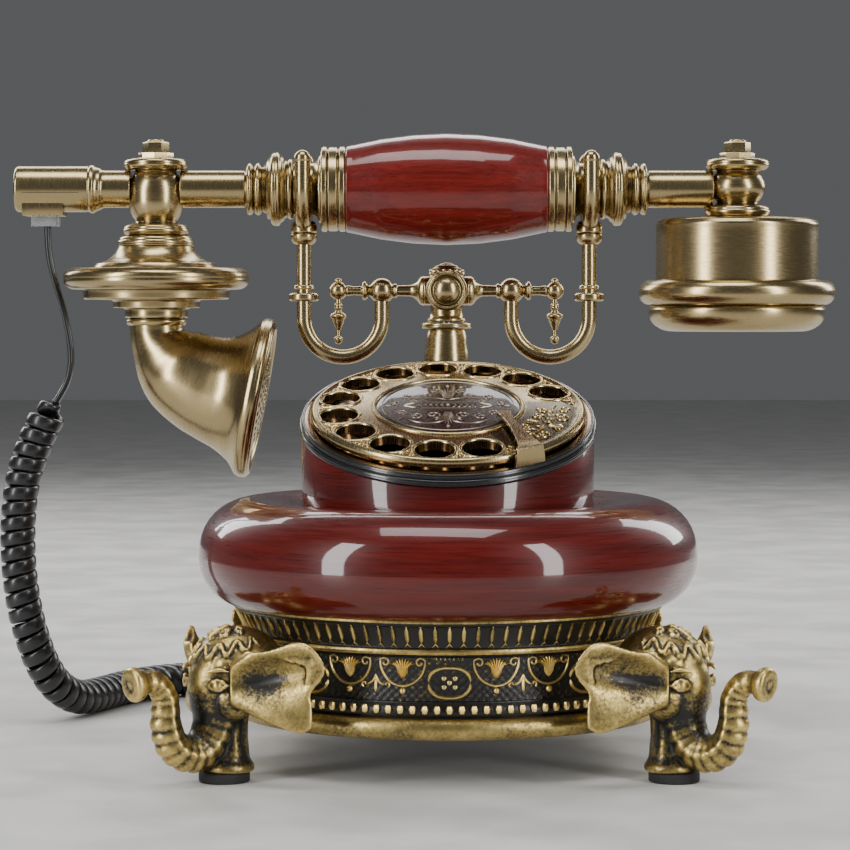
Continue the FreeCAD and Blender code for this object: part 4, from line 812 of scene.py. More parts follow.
def palmette(shell, at, wide, place):
    """A fan of curved ribs in a bowl whose ends curl in: each rib is a bow from the fan's foot to its top."""
    top, foot = 27.6, 19.4
    swing = np.linspace(0.06 * math.pi, -1.06 * math.pi, 26)
    bowl = np.stack((at + 8.0 * np.cos(swing), top - 0.6 + (top - foot + 0.4) * np.sin(swing)), axis=1)
    ribbon(shell, bowl, wide * 1.25, 0.9, place)
    for side in (-1, 1):
        curl = scroll((at + side * 6.2, top - 1.1), 1.9, 0.5, 1.05 * side, 0.0 if side > 0 else math.pi, 16)
        ribbon(shell, curl, wide, 0.8, place)
    for rib in range(-4, 5):
        path = bow((at + 0.42 * rib, foot + 1.1 + 0.1 * rib * rib),
                   (at + 1.32 * rib, top + 0.8 - 0.14 * rib * rib), 0.42 * rib, 9)
        ribbon(shell, path, wide * 0.8, 0.9, place, sides=5)


def sprig(shell, at, wide, place):
    """Three leaves that hang between two fans."""
    ribbon(shell, bow((at, 21.8), (at, 15.8), 0.0, 7), wide * 1.6, 0.8, place)
    for side in (-1, 1):
        ribbon(shell, bow((at, 22.4), (at + side * 3.6, 18.4), -0.9 * side, 8), wide * 1.2, 0.8, place)
        ribbon(shell, scroll((at + side * 4.2, 18.7), 1.1, 0.3, 0.9 * side, -math.pi / 2, 10), wide, 0.7,
               place, sides=5)


def frieze_lattice(shell):
    """A fine lattice over the frieze's ground: ridges where the run plus or less the height is a whole number
    of pitches, each ridge a bell of its distance from that line.
    """
    pitches, per_pitch = 170, 5
    pitch = TURN * FRIEZE_RADIUS / pitches
    up, run = np.meshgrid(np.linspace(12.8, 28.8, 30), np.arange(pitches * per_pitch) * pitch / per_pitch,
                          indexing="ij")
    away = [np.abs((run + way * up) / pitch - np.round((run + way * up) / pitch)) * pitch for way in (1, -1)]
    ridge = np.maximum(np.exp(-(away[0] / 0.42) ** 2), np.exp(-(away[1] / 0.42) ** 2))
    edge = np.clip(np.minimum(up - 12.8, 28.8 - up) / 0.5, 0, 1)
    proud = -0.25 + 0.45 * edge + 0.3 * ridge * edge
    shell.add(on_plinth(run, up, proud), False, True, 0.10 + 0.24 * ridge)


class TELEPHONE_OT_plinth(bpy.types.Operator):
    """Make the cast plinth with its rims, tongues, frieze and beads"""
    bl_idname = "telephone.plinth"
    bl_label = "Plinth"

    def execute(self, context):
        given = sizes()
        wide = given.stroke_width * MM
        shell = Shell()

        def rims_bright(grid):
            up = grid[..., 2] - PLINTH_LOW
            bright = (up < 7.5) | ((up > 29.2) & (up < 31.4)) | (up > 40.4)
            return np.where(bright, 0.58, 0.08)

        lathe(shell, PLINTH_PROFILE, (0, 0, PLINTH_LOW), around=256, most=1.6, tone=rims_bright)
        frieze_lattice(shell)
        tongues = np.arange(given.tongues) * TURN * FRIEZE_RADIUS / given.tongues
        for at in tongues:
            ribbon(shell, bow((at, 33.0), (at, 39.2), 0.0, 5), 1.5, 0.9, on_plinth, sides=5, tone=0.8)
            for way, foot in ((1, 39.6), (-1, 32.6)):
                arrow = [(at - 1.3, foot + 0.9 * way), (at, foot - 0.5 * way), (at + 1.3, foot + 0.9 * way)]
                ribbon(shell, arrow, 0.8, 0.7, on_plinth, sides=4, tone=0.7)
        period = TURN * FRIEZE_RADIUS / REPEATS
        for index in range(REPEATS):
            at = index * period
            swing = np.linspace(0, TURN, 41)
            oval = np.stack((at + 7.2 * np.cos(swing) * (1 + 0.06 * np.abs(np.sin(2 * swing))),
                             19.6 + 5.2 * np.sin(swing) * (1 + 0.06 * np.abs(np.sin(2 * swing)))), axis=1)
            for start in (0, 20):
                ribbon(shell, oval[start:start + 21], 1.5, 1.2, on_plinth)
            for row, col in ((0, 0), (1, 0), (-1, 0), (0, 1), (0, -1)):
                x, z = at + 1.9 * (row + col), 19.6 + 1.5 * (row - col)
                ball(shell, on_plinth(x, z, 0.0), 0.95, 6, 0.75, 1.0,
                     on_plinth(x, z, 1.0) - on_plinth(x, z, 0.0))
            for side in (-1, 1):
                palmette(shell, at + side * 0.313 * period, wide, on_plinth)
                ball(shell, on_plinth(at + side * 0.313 * period, 16.6, 0.3), 1.25, 10, 0.85)
            sprig(shell, at + 0.5 * period, wide, on_plinth)
            for step in range(-3, 4):
                ribbon(shell, [(at + step * 1.5 - 0.7, 26.2), (at + step * 1.5, 28.2),
                               (at + step * 1.5 + 0.7, 26.2)],
                       0.6, 0.5, on_plinth, sides=4, tone=0.5)
        for at in np.arange(given.beads) * TURN * FRIEZE_RADIUS / given.beads:
            ball(shell, on_plinth(at, 10.4, 0.5), 1.35, 8, 0.85, 1.35)
        shell.build("plinth_casting_relief", [finish("antiqued_resin")], "base", ["plinth_casting"],
                    "antiqued_resin", relief=0.55)
        return {"FINISHED"}


# ---------------------------------------------------------------- elephants
REACH = 100.0


def head_point(bearing, latitude, proud):
    """A point on the elephant's forehead: an ellipsoid by bearing and latitude, and how proud it stands."""
    bearing, latitude, proud = np.broadcast_arrays(*(np.asarray(n, float) for n in (bearing, latitude,
                                                                                    proud)))
    east, north = bearing / 16.0, latitude / 16.0
    out = np.stack((np.cos(north) * np.cos(east), np.cos(north) * np.sin(east), np.sin(north)), axis=-1)
    return np.array((REACH - 6.0, 0.0, 39.0)) + out * (np.array((17.5, 14.2, 15.2)) + proud[..., None])


EAR_EDGE = [(16.5, 22.6), (24.5, 19.6), (29.6, 21.6), (30.2, 27.0), (29.4, 33.4), (32.6, 37.6), (34.8, 42.0),
            (32.8, 47.4), (28.6, 50.8), (23.4, 51.2), (17.0, 47.6)]


def ear_sheet(side):
    """One ear: a fan from a short root on the cheek out to a lobed edge, its surface folded.

    A point is the root, plus a share of the way to the edge, plus a fold square to the ear's plane.
    """
    out, up = np.meshgrid(np.linspace(0, 1, 30), np.linspace(0, 1, 40), indexing="ij")
    edge = smooth_path(EAR_EDGE, 40)
    root = 28.0 + 15.5 * up
    reach = edge[None, :, 0] * out
    tall = root + (edge[None, :, 1] - root) * out ** 0.9 + 2.6 * np.exp(-((out - 0.36) / 0.17) ** 2) * up ** 5
    fold = (2.6 * np.exp(-((up - 0.86) / 0.13) ** 2) * np.sin(math.pi * out ** 0.8)
            - 3.4 * np.exp(-((up - 0.52 - 0.1 * out) / 0.17) ** 2) * np.sin(math.pi * out ** 0.9)
            + 2.0 * np.exp(-((up - 0.2) / 0.16) ** 2) * np.sin(math.pi * out)
            + 1.8 * np.exp(-((up - 0.72) / 0.12) ** 2) * out ** 3 + 1.6 * out ** 4)
    way, square = np.array((-0.60, 0.80)), np.array((0.80, 0.60))
    plan = np.array((REACH + 5.0, 12.0)) + reach[..., None] * way
    sheets = []
    for face in (1.0, -1.0):
        thick = 1.6 * np.sqrt(np.clip(1 - (2 * up - 1) ** 8, 0, 1)) * np.sqrt(np.clip(1 - out ** 10, 0, 1))
        lift = fold + face * thick
        flat = plan + lift[..., None] * square
        sheets.append(np.stack((flat[..., 0], side * flat[..., 1], tall), axis=-1))
    return np.concatenate((sheets[0], sheets[1][:, ::-1]), axis=1)


def trunk_wave(part, angle):
    """Creases across the trunk, deepest on the inside of its curl, and a ridge down each side."""
    inner = 0.5 + 0.5 * np.cos(angle)
    crease = -0.9 * (0.5 + 0.5 * np.cos(part * TURN * 20)) ** 3 * (0.15 + 0.85 * inner)
    from_side = np.abs(np.abs(angle - math.pi) - math.pi / 2)
    ridge = np.exp(-(from_side / 0.2) ** 2) * np.sin(math.pi * part)
    return crease + ridge


def elephant_shell():
    """One elephant's head, ears, trunk and leg, along its own bearing, as closed overlapping surfaces."""
    shell = Shell()
    ball(shell, (REACH - 6.0, 0, 39.0), 1.0, 48)
    shell.points[-1] = (shell.points[-1] - (REACH - 6.0, 0, 39.0)) * (17.5, 14.2, 15.2) + (REACH - 6.0, 0,
                                                                                           39.0)
    for side in (-1, 1):
        ball(shell, (REACH + 3.5, side * 6.0, 41.6), 5.6, 28, 0.5, 0.8)
        ball(shell, (REACH + 1.0, side * 6.5, 29.5), 7.6, 28)
        sheet = ear_sheet(side)
        closed = np.concatenate((sheet[:1] * 0 + sheet[:1].mean(axis=1, keepdims=True), sheet,
                                 sheet[-1:] * 0 + sheet[-1:].mean(axis=1, keepdims=True)))
        shell.add(closed, False, True)
        eye = np.array((REACH + 9.0, side * 9.4, 35.2))
        ball(shell, eye, 2.0, 18)
        look = np.array((math.cos(0.8), side * math.sin(0.8), 0.0))
        aside = np.array((-look[1], look[0], 0.0)) * side
        for lid, way in ((2.1, 1), (1.7, -1)):
            part = np.linspace(-1, 1, 17)
            path = eye + look * (1.0 - 1.6 * part[:, None] ** 2) + aside * (3.6 * part[:, None]) \
                + Z_AXIS * (way * lid * (1 - part[:, None] ** 2))
            tube(shell, path, 0.62 - 0.25 * part ** 2, look, 10)
        brow = eye + look * 0.6 + aside * np.linspace(-4.6, 4.2, 15)[:, None] \
            + Z_AXIS * (4.0 + 1.5 * np.sin(np.linspace(0.2, math.pi - 0.5, 15)))[:, None]
        tube(shell, brow, 0.95 * np.sin(np.linspace(0.35, math.pi - 0.35, 15)), look, 10)
    lathe(shell, [(0, 3.5), (9.0, 3.5), (9.2, 6.0, 0.2), (7.6, 10.0, -0.2), (7.9, 26.0, -0.1), (9.4, 31.0),
                  (0, 31.0)],
          (REACH - 1.5, 0, 0), around=48, most=2.0, wave=lambda a,
          h: 0.35 * np.cos(9 * a) * np.clip((h - 6) / 8, 0, 1))
    trunk = smooth_path([(1.0, 41.0), (4.0, 34.0), (3.6, 22.0), (8.0, 13.3), (14.6, 11.0), (21.4, 14.4),
                         (24.3, 22.0), (24.6, 31.0), (28.5, 36.6), (35.0, 37.2)], 150)
    radii = smooth_path([(9.0, 0), (9.5, 0), (8.2, 0), (7.2, 0), (6.8, 0), (6.1, 0), (5.6, 0), (4.8, 0),
                         (4.3, 0), (4.2, 0)], 150)[:, 0]
    path = np.stack((REACH + trunk[:, 0], np.zeros(150), trunk[:, 1]), axis=1)
    tube(shell, path, radii, Y_AXIS, 48, wave=trunk_wave)
    lathe(shell, [(0, -1.5), (4.6, -1.5), (6.0, 1.2, 0.3), (5.6, 3.0, 0.3), (2.4, 3.2, 0.2), (1.2, 1.6),
                  (0, 1.6)],
          (REACH + 35.6, 0, 37.0), (1, 0, -0.12), 40)
    # cloth over the head: a rolled border, a wandering line, a plain line and swirls above
    swing = np.linspace(-1.0, 1.0, 150)
    wander = np.stack((swing * 27.0, 7.6 + 5.0 * np.abs(swing) ** 1.5 + 2.5 * np.sin(swing * 23)), axis=1)
    ribbon(shell, wander, 1.5, 1.7, head_point, sink=1.0)
    for middle, turns in (((-7.6, 17.4), 1.5), ((7.6, 17.4), -1.5), ((-18.5, 19.5), -1.3),
                          ((18.5, 19.5), 1.3)):
        ribbon(shell, scroll(middle, 3.6, 0.6, turns, math.pi / 2, 34), 1.4, 1.5, head_point, sink=1.0)
    ribbon(shell, bow((0.0, 12.5), (0.0, 23.0), 0.0, 9), 2.2, 1.6, head_point, sink=1.0)
    return shell


def elephant_gilt_and_shade(places):
    """How gilded each point of an elephant is, less painted shade: darker on the leg under the head, in the
    trunk's curl, in the ears' folds and on the lower face.

    Each part takes away a bell of the distance from its middle.
    """
    x, y, z = places.T
    # painted shade: the leg under the head and behind the trunk is darkened, and below it the trunk's curl,
    # the ears' folds and the lower face
    leg = 0.20 / (1 + np.exp((x - REACH - 6.5) / 0.8)) / (1 + np.exp((z - 25.0) / 1.5)) \
        / (1 + np.exp((np.abs(y) - 13.0) / 0.8))
    curl = 0.22 * np.exp(-(np.hypot(x - REACH - 14.5, z - 24.0) / 9.0) ** 6)
    fold = 0.25 * np.exp(-((z - 36.0) / 4.5) ** 2 - ((np.abs(y) - 20.0) / 6.0) ** 2)
    face = 0.08 * np.exp(-((z - 28.0) / 6.0) ** 2 - ((x - REACH - 9.0) / 6.0) ** 2)
    return 0.60 - leg - curl - fold - face


def melt(piece, voxel, passes):
    """Grow one skin over a piece's overlapping surfaces, and soften it."""
    skin = piece.modifiers.new("one_skin", "REMESH")
    skin.mode = "VOXEL"
    skin.voxel_size = voxel / MM
    soften = piece.modifiers.new("soften", "SMOOTH")
    soften.factor = 0.5
    soften.iterations = passes
    graph = bpy.context.evaluated_depsgraph_get()
    mesh = bpy.data.meshes.new_from_object(piece.evaluated_get(graph))
    name = piece.name
    bpy.data.objects.remove(piece)
    melted = bpy.data.objects.new(name, mesh)
    bpy.context.scene.collection.objects.link(melted)
    for attribute, kind in (("gilt", "FLOAT"), ("lay", "FLOAT_VECTOR")):
        if attribute not in mesh.attributes:
            mesh.attributes.new(attribute, kind, "POINT")
    # each point's gilt tone, with painted shade on the leg, in the trunk's curl, in the ears' folds and on
    # the lower face
    tones = elephant_gilt_and_shade(read(mesh.vertices, "co", 3) * MM)
    mesh.attributes["gilt"].data.foreach_set("value", tones.astype(np.float32))
    return melted


class TELEPHONE_OT_elephants(bpy.types.Operator):
    """Make the four elephant heads that the telephone stands on, and their rubber pads"""
    bl_idname = "telephone.elephants"
    bl_label = "Elephant feet"

    def execute(self, context):
        def hone(piece):
            return melt(piece, 0.62, 2)

        first = elephant_shell().build("elephant_rear_right_casting", [finish("antiqued_resin")], "base",
                                       ["elephant_foot_rear_right"], "antiqued_resin", relief=1.5, sharp=60,
                                       hone=hone)
        mount = {m["name"]: m["pos_m"] for m in frame["record"]["mounts"]}
        plain = first.data.copy()
        for corner in ("rear_right", "rear_left", "front_left", "front_right"):
            x, y, _ = mount[corner + "_foot"]
            piece, turn = first, math.atan2(y, x)
            if corner != "rear_right":
                piece = bpy.data.objects.new(f"elephant_{corner}_casting", plain.copy())
                context.scene.collection.objects.link(piece)
                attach(piece, "base")
                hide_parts("elephant_foot_" + corner)
            places = read(piece.data.vertices, "co", 3)
            turned = places.copy()
            turned[:, 0] = places[:, 0] * math.cos(turn) - places[:, 1] * math.sin(turn)
            turned[:, 1] = places[:, 0] * math.sin(turn) + places[:, 1] * math.cos(turn)
            piece.data.vertices.foreach_set("co", turned.ravel())
            piece.data.update()
        bpy.data.meshes.remove(plain)
        pads = Shell()
        for name, (x, y, _) in mount.items():
            if name.endswith("_foot"):
                lathe(pads, [(0, 0), (9.0, 0), (9.0, 3.5), (0, 3.5)], (x * MM, y * MM, 0), around=64,
                      corner=0.7)
        pads.build("rubber_feet", [finish("rubber_pad")], "base", ["foot_pads"], "rubber_pad")
        return {"FINISHED"}


# ---------------------------------------------------------------- lacquered body
def column_lathe(shell, points, around=192, corner=0.35, tone=0.5, slot=0):
    """A profile of (radius, height over the slanted plane) spun upright, plus the plane's rise there."""
    row, closed = eased(points, corner)
    angle = np.arange(around) * TURN / around
    radius, over = row.real[:, None], row.imag[:, None]
    x, y = radius * np.cos(angle), radius * np.sin(angle)
    z = DIAL_MID + y * math.tan(TILT) + over / math.cos(TILT)
    grid = np.stack((x, y, z), axis=-1)
    shell.add(grid, closed, True, tone, None, slot)
    return grid


class TELEPHONE_OT_lacquered_body(bpy.types.Operator):
    """Make the lacquered ring and the slanted pedestal that stands in it"""
    bl_idname = "telephone.lacquered_body"
    bl_label = "Lacquered body"

    def execute(self, context):
        low, high = RING_LOW, RING_TOP
        shell = Shell()
        lathe(shell, [(83.03, low), (91.9, high - 18.9, 0.31), (73.0, high, 0.4142), (55.6, high - 4.2, 0.13),
                      (54.1, high - 5.6), (54.1, low), (58.1, low), (58.1, high - 8.8),
                      (73.0, high - 4.0, -0.13), (87.9, high - 18.9, -0.4142), (79.03, low, -0.31)],
                      around=256, corner=0.5, most=2.5)
        shell.build("lacquered_ring", [finish("red_lacquer")], "base", ["ring_body"], "red_lacquer", sharp=35)
        tube_shell = Shell()
        angle = np.arange(256) * TURN / 256
        rows = []
        for radius, part in ((50.5, 0.0), (54.0, 0.0), (54.0, 0.25), (54.0, 0.5), (54.0, 0.75),
                             (54.0, 0.985), (53.6, 1.0), (50.5, 1.0)):
            top = DIAL_MID + radius * np.sin(angle) * math.tan(TILT)
            rows.append(np.stack((radius * np.cos(angle), radius * np.sin(angle), low + (top - low) * part),
                                 axis=1))
        tube_shell.add(np.array(rows), True, True)
        tube_shell.build("slanted_pedestal", [finish("red_lacquer")], "base", ["pedestal"], "red_lacquer",
                         sharp=35)
        return {"FINISHED"}


# ---------------------------------------------------------------- dial
HOLE_CIRCLE, HOLE_RADIUS, HOLE_PITCH, HOLE_FIRST = 41.0, 7.2, 24.0, -73.0
STOP_TIP, STOP_FOLD = np.array((20.0, -10.9)), np.array((29.4, -46.4))


class TELEPHONE_OT_dial_seat(bpy.types.Operator):
    """Make the black ring in two steps, the copper number plate with its digits, and the finger stop"""
    bl_idname = "telephone.dial_seat"
    bl_label = "Dial seat"

    def execute(self, context):
        ring = Shell()
        column_lathe(ring, [(53.0, 0.0), (54.6, 0.0), (54.9, 1.1, 0.3), (54.6, 2.2, 0.3), (53.95, 2.2),
                            (54.15, 3.1, 0.3), (53.9, 4.0, 0.3), (53.0, 4.0)], corner=0.2)
        ring.build("dial_seat_ring", [finish("black_moulding")], "base", ["dial_trim_ring"],
                   "black_moulding", sharp=50)
        plate = Shell()
        column_lathe(plate, [(3.05, 0.0), (49.1, 0.0), (49.1, 0.8), (3.05, 0.8)], around=240, corner=0.1)
        column_lathe(plate, [(49.2, 0.0), (52.95, 0.0), (52.95, 3.8), (49.2, 3.8)], around=240, corner=0.3)
        plate.build("number_plate_copper", [finish("copper_plate")], "base", ["number_plate"],
                    "copper_plate", sharp=30)
        self.digits(context)
        self.stop()
        return {"FINISHED"}

    def digits(self, context):
        points, faces = [], []
        for index, mark in enumerate("#*0987654321"):
            turn = math.radians(HOLE_FIRST - HOLE_PITCH * index)
            text = bpy.data.curves.new("digit", "FONT")
            text.body, text.size, text.extrude = mark, 9.0, 0.06
            text.align_x, text.align_y, text.resolution_u = "CENTER", "CENTER", 4
            holder = bpy.data.objects.new("digit", text)
            mesh = bpy.data.meshes.new_from_object(holder)
            flat = read(mesh.vertices, "co", 3)
            start = sum(len(part) for part in points)
            x, y = HOLE_CIRCLE * math.cos(turn), HOLE_CIRCLE * math.sin(turn)
            points.append(on_dial(x + flat[:, 0], y + flat[:, 1], 0.85 + flat[:, 2]))
            faces += [[start + corner for corner in face.vertices] for face in mesh.polygons]
            bpy.data.objects.remove(holder)
            bpy.data.meshes.remove(mesh)
            bpy.data.curves.remove(text)
        mesh = bpy.data.meshes.new("dial_digits")
        mesh.from_pydata((np.concatenate(points) / MM).tolist(), [], faces)
        mesh.materials.append(finish("dial_ink"))
        piece = bpy.data.objects.new("dial_digits", mesh)
        context.scene.collection.objects.link(piece)
        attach(piece, "base")

    def stop(self):
        """A strip bent over the wheel's edge: its section runs along the blade, over the fold and down."""
        out = STOP_FOLD / np.linalg.norm(STOP_FOLD)
        aside = np.array((-out[1], out[0]))
        blade = (STOP_FOLD - STOP_TIP) / np.linalg.norm(STOP_FOLD - STOP_TIP)
        length = float(np.linalg.norm(STOP_FOLD - STOP_TIP))
        rows = []
        top, thick = 10.9, 1.5
        left = np.array((-blade[1], blade[0]))
        for part, half in ((0.0, 2.3), (0.02, 2.6), (0.12, 2.0), (0.25, 1.8), (0.42, 1.9), (0.6, 2.4),
                           (0.8, 3.5), (0.93, 4.3)):
            middle = STOP_TIP + blade * length * part
            rows.append([(middle - left * half, top), (middle + left * half, top),
                         (middle + left * half, top - thick), (middle - left * half, top - thick)])
        reach = float(np.linalg.norm(STOP_FOLD))
        for go, drop, half, inner in ((0.6, 0.15, 5.0, 0.5), (1.35, 0.9, 5.5, 1.2), (1.6, 2.4, 5.8, 1.5),
                                      (1.62, 6.4, 6.2, 1.5), (1.62, 10.6, 6.3, 1.5)):
            face, back = out * (reach + go - 2.1), out * (reach + go - 2.1 - inner)
            rows.append([(face - aside * half, top - drop), (face + aside * half, top - drop),
                         (back + aside * half, top - drop - (0.9 if drop < 1 else 0.0)),
                         (back - aside * half, top - drop - (0.9 if drop < 1 else 0.0))])
        grid = np.array([[on_dial(*place, up) for place, up in row] for row in rows])
        ends = [grid[:1] * 0 + grid[:1].mean(axis=1, keepdims=True), grid,
                grid[-1:] * 0 + grid[-1:].mean(axis=1, keepdims=True)]
        shell = Shell()
        shell.add(np.concatenate(ends), False, True, 0.5)
        piece = shell.build("finger_stop_strip", [finish("antique_brass")], "base", ["finger_stop"],
                            "antique_brass", relief=0.0, sharp=30)
        edge = piece.modifiers.new("edge", "BEVEL")
        edge.width, edge.segments, edge.limit_method, edge.angle_limit = 0.00025, 2, "ANGLE", math.radians(40)


def wheel_top(radius):
    """Height of the wheel's face over the dial's plane: straight from the rim up to the medallion."""
    return np.interp(radius, (28.2, 47.4), (8.0, 7.0))


def on_wheel(x, y, proud):
    x, y, proud = np.broadcast_arrays(*(np.asarray(n, float) for n in (x, y, proud)))
    return on_dial(x, y, wheel_top(np.hypot(x, y)) + proud)


def leaf_cluster(shell, radius, turn, wide=0.55):
    """A small spray between two finger holes: a stem and two pairs of curls, mirrored about the radius."""
    out, aside = np.array((math.cos(turn), math.sin(turn))), np.array((-math.sin(turn), math.cos(turn)))

    def place(x, y, proud):
        flat = radius * out + x[..., None] * aside + y[..., None] * out
        return on_wheel(flat[..., 0], flat[..., 1], proud)

    ribbon(shell, bow((0, -2.6), (0, 2.4), 0.0, 7), wide * 1.3, 0.45, place, sides=5)
    for side in (-1, 1):
        ribbon(shell, scroll((side * 1.7, 1.2), 1.35, 0.35, 1.1 * side, -math.pi / 2, 14), wide, 0.45,
               place, sides=5)
        ribbon(shell, bow((0, -1.6), (side * 2.7, -0.6), 0.5 * side, 7), wide, 0.45, place, sides=5)


class TELEPHONE_OT_finger_wheel(bpy.types.Operator):
    """Make the finger wheel with its holes and relief, and the medallion in the middle of it"""
    bl_idname = "telephone.finger_wheel"
    bl_label = "Finger wheel"

    def execute(self, context):
        shell = Shell()
        inner, outer, low = 28.2, 47.4, 4.35
        per_side = 16
        # round each hole, rings run from its circle to the edge of a sector of the wheel
        step = np.linspace(-1, 1, per_side + 1)[:-1]
        half = math.radians(HOLE_PITCH / 2)
        radii, turns = np.concatenate((np.full(per_side, outer), outer - (outer - inner) * (step + 1) / 2,
                                       np.full(per_side, inner), inner + (outer - inner) * (step + 1) / 2)), \
            np.concatenate((step * half, np.full(per_side, half), -step * half, np.full(per_side, -half)))
        edge = np.stack((radii * np.cos(turns) - HOLE_CIRCLE, radii * np.sin(turns)), axis=1)
        circle = edge / np.linalg.norm(edge, axis=1)[:, None] * HOLE_RADIUS
        spread = np.array((0.0, 0.06, 0.14, 0.24, 0.36, 0.52, 0.7, 0.86, 1.0))[:, None, None]
        flat = circle + (edge - circle) * spread
        for index in range(12):
            turn = math.radians(HOLE_FIRST - HOLE_PITCH * index)
            x = (flat[..., 0] + HOLE_CIRCLE) * math.cos(turn) - flat[..., 1] * math.sin(turn)
            y = (flat[..., 0] + HOLE_CIRCLE) * math.sin(turn) + flat[..., 1] * math.cos(turn)
            shell.add(on_wheel(x, y, 0.0), False, True, 0.42)
            shell.add(on_dial(x, y, low), False, True, 0.3)
            wall = np.stack([on_wheel(x[0], y[0], 0.0) + (on_dial(x[0], y[0], low) - on_wheel(x[0], y[0],
                                                                                              0.0)) * part
                             for part in (0.0, 0.3, 0.65, 1.0)])
            shell.add(wall, False, True, 0.3)
        start = math.radians(HOLE_FIRST + HOLE_PITCH / 2)
        blank = start + np.linspace(0, TURN - 12 * math.radians(HOLE_PITCH), 3 * per_side + 1)
        reach = np.concatenate(((outer,), outer - (outer - inner) * (np.arange(1, per_side + 1)) / per_side))
        x, y = reach[:, None] * np.cos(blank), reach[:, None] * np.sin(blank)
        shell.add(on_wheel(x, y, 0.0), tone=0.14)
        shell.add(on_dial(x, y, low), tone=0.3)
        start_turn = math.radians(HOLE_FIRST - HOLE_PITCH / 2)
        around = start_turn + np.arange(240) * TURN / 240
        for rows in ([(47.4, 7.0), (47.9, 7.05), (48.5, 7.6), (49.2, 7.75), (50.0, 7.5), (50.6, 6.9),
                      (50.8, 6.2), (50.8, 5.2), (50.5, 4.6), (49.9, 4.35), (47.4, 4.35)],
                     [(28.2, 8.0), (28.2, 6.9), (3.0, 6.9), (3.0, 4.35), (28.2, 4.35)]):
            rows = np.array(rows)
            grid = on_dial(rows[:, :1] * np.cos(around), rows[:, :1] * np.sin(around), rows[:, 1:])
            shell.add(grid, False, True, 0.5)
        lip = sizes().lip_width * MM / 2
        swing = np.arange(10) * TURN / 10
        for index in range(12):
            turn = math.radians(HOLE_FIRST - HOLE_PITCH * index)
            ring = np.arange(64) * TURN / 64
            away = (HOLE_RADIUS + lip * 0.9 + lip * np.cos(swing))[:, None]
            x = HOLE_CIRCLE * math.cos(turn) + away * np.cos(ring)
            y = HOLE_CIRCLE * math.sin(turn) + away * np.sin(ring)
            shell.add(on_wheel(x, y, 0.55 * np.sin(swing)[:, None]), True, True, 0.62)
            if index < 11:
                leaf_cluster(shell, 45.0, turn - math.radians(HOLE_PITCH / 2))
        for turn in (math.radians(HOLE_FIRST + 13.0), math.radians(HOLE_FIRST - 11 * HOLE_PITCH - 13.0)):
            leaf_cluster(shell, 45.2, turn, 0.5)
        self.blank_scrolls(shell)
        shell.build("finger_wheel_brass", [finish("antique_brass")], "dial", ["finger_wheel"],
                    "antique_brass", relief=0.6, sharp=40)
        self.medallion()
        return {"FINISHED"}

    def blank_scrolls(self, shell):
        """Leafy scrolls over the part of the wheel that has no holes, in polar strokes."""
        middle = math.radians(HOLE_FIRST + HOLE_PITCH / 2 + (360 - 12 * HOLE_PITCH) / 2)

        def place(x, y, proud):
            turn = middle + x / 39.0
            return on_wheel(y * np.cos(turn), y * np.sin(turn), proud)

        wide = 0.62
        for side in (-1, 1):
            ribbon(shell, scroll((side * 8.0, 42.6), 3.4, 0.5, 1.5 * side, -math.pi / 2, 32), wide, 0.5,
                   place)
            ribbon(shell, scroll((side * 15.4, 43.0), 2.6, 0.4, -1.4 * side, math.pi / 2, 28), wide, 0.5,
                   place)
            ribbon(shell, scroll((side * 6.4, 34.2), 2.8, 0.4, -1.5 * side, math.pi / 2, 28), wide, 0.5,
                   place)
            ribbon(shell, scroll((side * 13.2, 34.6), 2.4, 0.4, 1.4 * side, -math.pi / 2, 28), wide, 0.5,
                   place)
            ribbon(shell, bow((side * 0.6, 38.4), (side * 12.0, 39.0), 1.0 * side, 20), wide, 0.5, place)
            ribbon(shell, bow((side * 12.0, 39.0), (side * 20.0, 40.4), -1.2 * side, 14), wide, 0.5, place)
            for step in range(4):
                ribbon(shell, bow((side * (2.2 + 3.6 * step), 38.6), (side * (3.4 + 3.6 * step), 40.4), 0.4,
                                  6), wide * 0.9,
                       0.45, place, sides=5)
                ribbon(shell, bow((side * (2.2 + 3.6 * step), 38.2), (side * (3.4 + 3.6 * step), 36.6),
                                  -0.4, 6),
                       wide * 0.9, 0.45, place, sides=5)
        for rib in range(-2, 3):
            ribbon(shell, bow((0.3 * rib, 40.0), (rib * 1.5, 46.0 - 0.5 * abs(rib)), 0.4 * rib, 9), wide,
                   0.55, place)
            ribbon(shell, bow((0.3 * rib, 37.0), (rib * 1.3, 31.2 + 0.5 * abs(rib)), -0.4 * rib, 9), wide,
                   0.55, place)

    def medallion(self):
        disc = Shell()
        along, base = DIAL_UP, on_dial(0.0, 0.0, 0.0)
        lathe(disc, [(0, 6.9), (26.6, 6.9), (26.6, 8.0), (25.6, 8.3), (0, 8.6, 0.006)], base, along, 160,
              most=4.0)
        disc.build("medallion_enamel", [finish("maroon_enamel")], "dial", ["medallion"], "maroon_enamel",
                   sharp=30)
        relief = Shell()

        def place(x, y, proud):
            lift = 8.3 + 0.3 * (1 - (np.hypot(x, y) / 25.6) ** 2)
            return on_dial(x, y, lift + proud)

